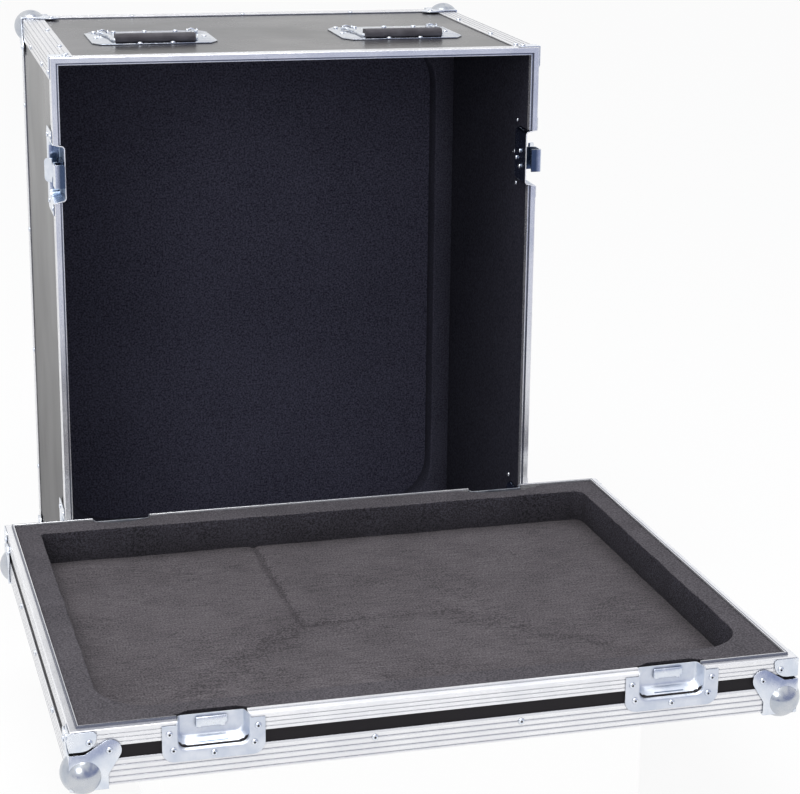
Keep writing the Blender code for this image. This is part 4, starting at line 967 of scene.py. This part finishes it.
for y in (0.159, 0.327, 0.480):
    for x, way in ((0.0, -1), (lid_long, 1)):
        rivet("lid", lid_at, (x, y, 0.022), (way, 0, 0))
for way in (-1, 1):
    for z, up in ends:
        point = (way * (half_wide + brace_sheet), brace_in, z - up * brace_along)
        rivet("case", body_at, point, (way, 0, 0))
        point = (way * (half_wide - brace_along), brace_in, z + up * brace_sheet)
        rivet("case", body_at, point, (0, 0, up))
for x, way in ((0.0, -1), (lid_long, 1)):
    for y, back in ((0.0, -1), (lid_wide, 1)):
        point = (x + way * brace_sheet, y - back * brace_along, lid_deep - brace_in)
        rivet("lid", lid_at, point, (way, 0, 0))
        point = (x - way * brace_along, y + back * brace_sheet, lid_deep - brace_in)
        rivet("lid", lid_at, point, (0, back, 0))

inner_wall, pan_back = -0.0106, -pan_deep - dish_sheet - seat_gap
wall_tails = ((-0.0446, 0.060), (0.0446, 0.060), (-0.0015, 0.071))
pan_tails = ((0.0065, 0.027), (-0.0055, 0.043), (-0.0150, 0.027))
for place in latch_spots.values():
    for level, tails in ((inner_wall, wall_tails), (pan_back, pan_tails)):
        for along, inward in tails:
            rivet("case", place, (level, inward, along), (-1, 0, 0))

# Painted shade: the recess in each rivet's middle is near black, with a faint mottle.
bore_shade, tree, shader = finish("painted_bore_shade", (0.02, 0.02, 0.022), 0.6, 0.3)
bore_mottle = clouds(tree, spot(tree), 0.0006)
colour_in(tree, shader, between(tree, bore_mottle, (0.012, 0.012, 0.013), (0.05, 0.048, 0.046)))

dome = [(0.0, rivet_high - 0.0008, 1), (stem_radius * 0.9, rivet_high - 0.0008, 1)]
dome += [(stem_radius, rivet_high - 0.0001, 1), (stem_radius * 1.25, rivet_high, 0)]
for step in range(1, 6):
    angle = math.pi / 2 * step / 5
    across = stem_radius * 1.25 + (rivet_radius - stem_radius * 1.25) * math.sin(angle)
    dome.append((across, 0.0002 + (rivet_high - 0.0002) * math.cos(angle), 0))
dome.append((rivet_radius, -0.0002, 0))


def rivet_heads(name, spots, body, steps=16):
    """All the rivets of one body as one piece."""
    points, faces, kinds = [], [], []
    for place, normal in spots:
        turn = normal.to_track_quat("Z", "Y").to_matrix()
        base = len(points)
        points.append(place + turn @ Vector((0.0, 0.0, dome[0][1])))
        for radius, level, _ in dome[1:]:
            for step in range(steps):
                angle = 2 * math.pi * step / steps
                spoke = Vector((radius * math.cos(angle), radius * math.sin(angle), level))
                points.append(place + turn @ spoke)
        for step in range(steps):
            following = (step + 1) % steps
            faces.append((base, base + 1 + step, base + 1 + following))
            kinds.append(1)
            for ring in range(len(dome) - 2):
                here, there = base + 1 + ring * steps, base + 1 + (ring + 1) * steps
                faces.append((here + step, there + step, there + following, here + following))
                kinds.append(dome[ring + 2][2])
    mesh = bpy.data.meshes.new(name)
    mesh.from_pydata(points, [], faces)
    mesh.materials.append(zinc)
    mesh.materials.append(bore_shade)
    for face, kind in zip(mesh.polygons, kinds):
        face.material_index = kind
    new_piece(name, mesh, None, body, angle=50.0)


rivet_heads("rivets_body", rivets["case"], "case")
rivet_heads("rivets_lid", rivets["lid"], "lid")

# Not part of the case: a plain pale floor, a pale block that the lid lies on, a thin strip under
# the body's front edge, soft light, and the camera at the height and angle of the photograph.


def pale(name, glow_share):
    """Matt white paint with a glow that only the camera, mirrors and glass see."""
    made, tree, shader = finish(name, (0.92, 0.92, 0.92), 0.9)
    rays = put(tree, "LightPath")
    seen = sums(tree, "MAXIMUM", rays.outputs["Is Camera Ray"], rays.outputs["Is Glossy Ray"])
    seen = sums(tree, "MAXIMUM", seen, rays.outputs["Is Transmission Ray"])
    glow = put(tree, "Emission", {"Color": (1.0, 1.0, 1.0, 1.0), "Strength": 1.0})
    share = sums(tree, "MULTIPLY", seen, glow_share)
    blend = put(tree, "MixShader", {0: share, 1: shader.outputs[0], 2: glow.outputs[0]})
    tree.links.new(blend.outputs[0], tree.nodes["Material Output"].inputs["Surface"])
    return made


def stage_block(name, low, high, round_off, material):
    """A plain block that is not part of the case."""
    work = bmesh.new()
    bmesh.ops.create_cube(work, size=1.0)
    low, high = Vector(low), Vector(high)
    bmesh.ops.scale(work, vec=high - low, verts=work.verts)
    bmesh.ops.translate(work, vec=(low + high) / 2, verts=work.verts)
    if round_off:
        edges = work.edges[:]
        bmesh.ops.bevel(work, geom=edges, offset=round_off, segments=3, affect="EDGES", profile=0.5)
    made = bpy.data.objects.new(name, mesh_of(work, name))
    made.data.materials.append(material)
    bpy.context.scene.collection.objects.link(made)
    return made


backdrop = pale("pale_floor", 0.92)
support = pale("pale_support", 0.97)
corner_drop, front_gap = 0.0105, 0.0003
floor_level = min(cad_box[0][2], -corner_drop)
stage_block("floor", (-9.0, -1.7, floor_level - 0.02), (9.0, 9.0, floor_level), 0.0, backdrop)
plinth_low = (0.12, 0.16, floor_level - lid_rise)
plinth_high = (lid_long - 0.12, lid_wide - 0.07, 0.0014)
plinth = stage_block("plinth", plinth_low, plinth_high, 0.004, support)
plinth.data.transform(lid_at)
stage_block("strip", (-0.30, 0.02, floor_level), (0.30, 0.06, -front_gap), 0.001, backdrop)

world = bpy.data.worlds.new("studio")
bpy.context.scene.world = world
world.use_nodes = True
tree = world.node_tree
tree.nodes.clear()
rays = put(tree, "LightPath")
facing = put(tree, "TexCoord").outputs["Generated"]
ways = put(tree, "SeparateXYZ", {0: facing})
lift = spread(tree, ways.outputs[2], 0.0, 1.0, -0.05, 0.75)
behind = spread(tree, ways.outputs[1], 0.0, 1.0, -0.75, 0.1)
aside = spread(tree, ways.outputs[0], 0.52, 0.0, -0.20, 0.42)
open_sky = sums(tree, "ADD", sums(tree, "MAXIMUM", lift, behind), aside)
shapes = spread(tree, clouds(tree, facing, 0.36, 1.0), 0.0, 0.60, 0.48, 0.60)
level = sums(tree, "SUBTRACT", open_sky, shapes)
glare = between(tree, level, (0.30, 0.34, 0.52), (1.0, 1.0, 1.0))
soft = put(tree, "Background", {"Color": (0.95, 0.96, 1.0, 1.0), "Strength": 0.62})
mirror = put(tree, "Background", {"Color": glare, "Strength": 1.0})
plain = put(tree, "Background", {"Color": (1.0, 1.0, 1.0, 1.0), "Strength": 1.0})
shiny = rays.outputs["Is Glossy Ray"]
lit = put(tree, "MixShader", {0: shiny, 1: soft.outputs[0], 2: mirror.outputs[0]})
seen = sums(tree, "MAXIMUM", rays.outputs["Is Camera Ray"], rays.outputs["Is Transmission Ray"])
whole = put(tree, "MixShader", {0: seen, 1: lit.outputs[0], 2: plain.outputs[0]})
sky = put(tree, "OutputWorld")
tree.links.new(whole.outputs[0], sky.inputs["Surface"])


def lamp(name, power, size, place, target):
    """A large soft lamp that faces a point."""
    data = bpy.data.lights.new(name, "AREA")
    data.energy = power
    data.shape = "DISK"
    data.size = size
    made = bpy.data.objects.new(name, data)
    bpy.context.scene.collection.objects.link(made)
    made.location = place
    made.rotation_euler = (Vector(target) - Vector(place)).to_track_quat("-Z", "Y").to_euler()


lamp("overhead", 70.0, 2.4, (-0.6, -0.9, 3.2), (0.0, -0.2, 0.3))
lamp("front", 19.0, 1.6, (-1.6, -3.4, 1.9), (0.0, 0.0, 0.4))

eye = Vector((-0.5823, -2.88955, 1.2152))
yaw, pitch, roll = 0.2458, 0.2853, 0.0107
sensor_wide, focal_pixels, picture_wide = 36.0, 2200.0, 800.0
flat = math.cos(pitch)
ahead = Vector((math.sin(yaw) * flat, math.cos(yaw) * flat, -math.sin(pitch)))
right = Vector((math.cos(yaw), -math.sin(yaw), 0.0))
upward = right.cross(ahead)
level_x = right * math.cos(roll) + upward * math.sin(roll)
level_y = upward * math.cos(roll) - right * math.sin(roll)
lens = bpy.data.cameras.new("camera")
lens.sensor_fit = "HORIZONTAL"
lens.sensor_width = sensor_wide
lens.lens = sensor_wide * focal_pixels / picture_wide
camera = bpy.data.objects.new("camera", lens)
camera.matrix_world = placed(level_x, level_y, -ahead, eye)
bpy.context.scene.collection.objects.link(camera)
bpy.context.scene.camera = camera
bpy.context.scene.view_settings.view_transform = "Standard"
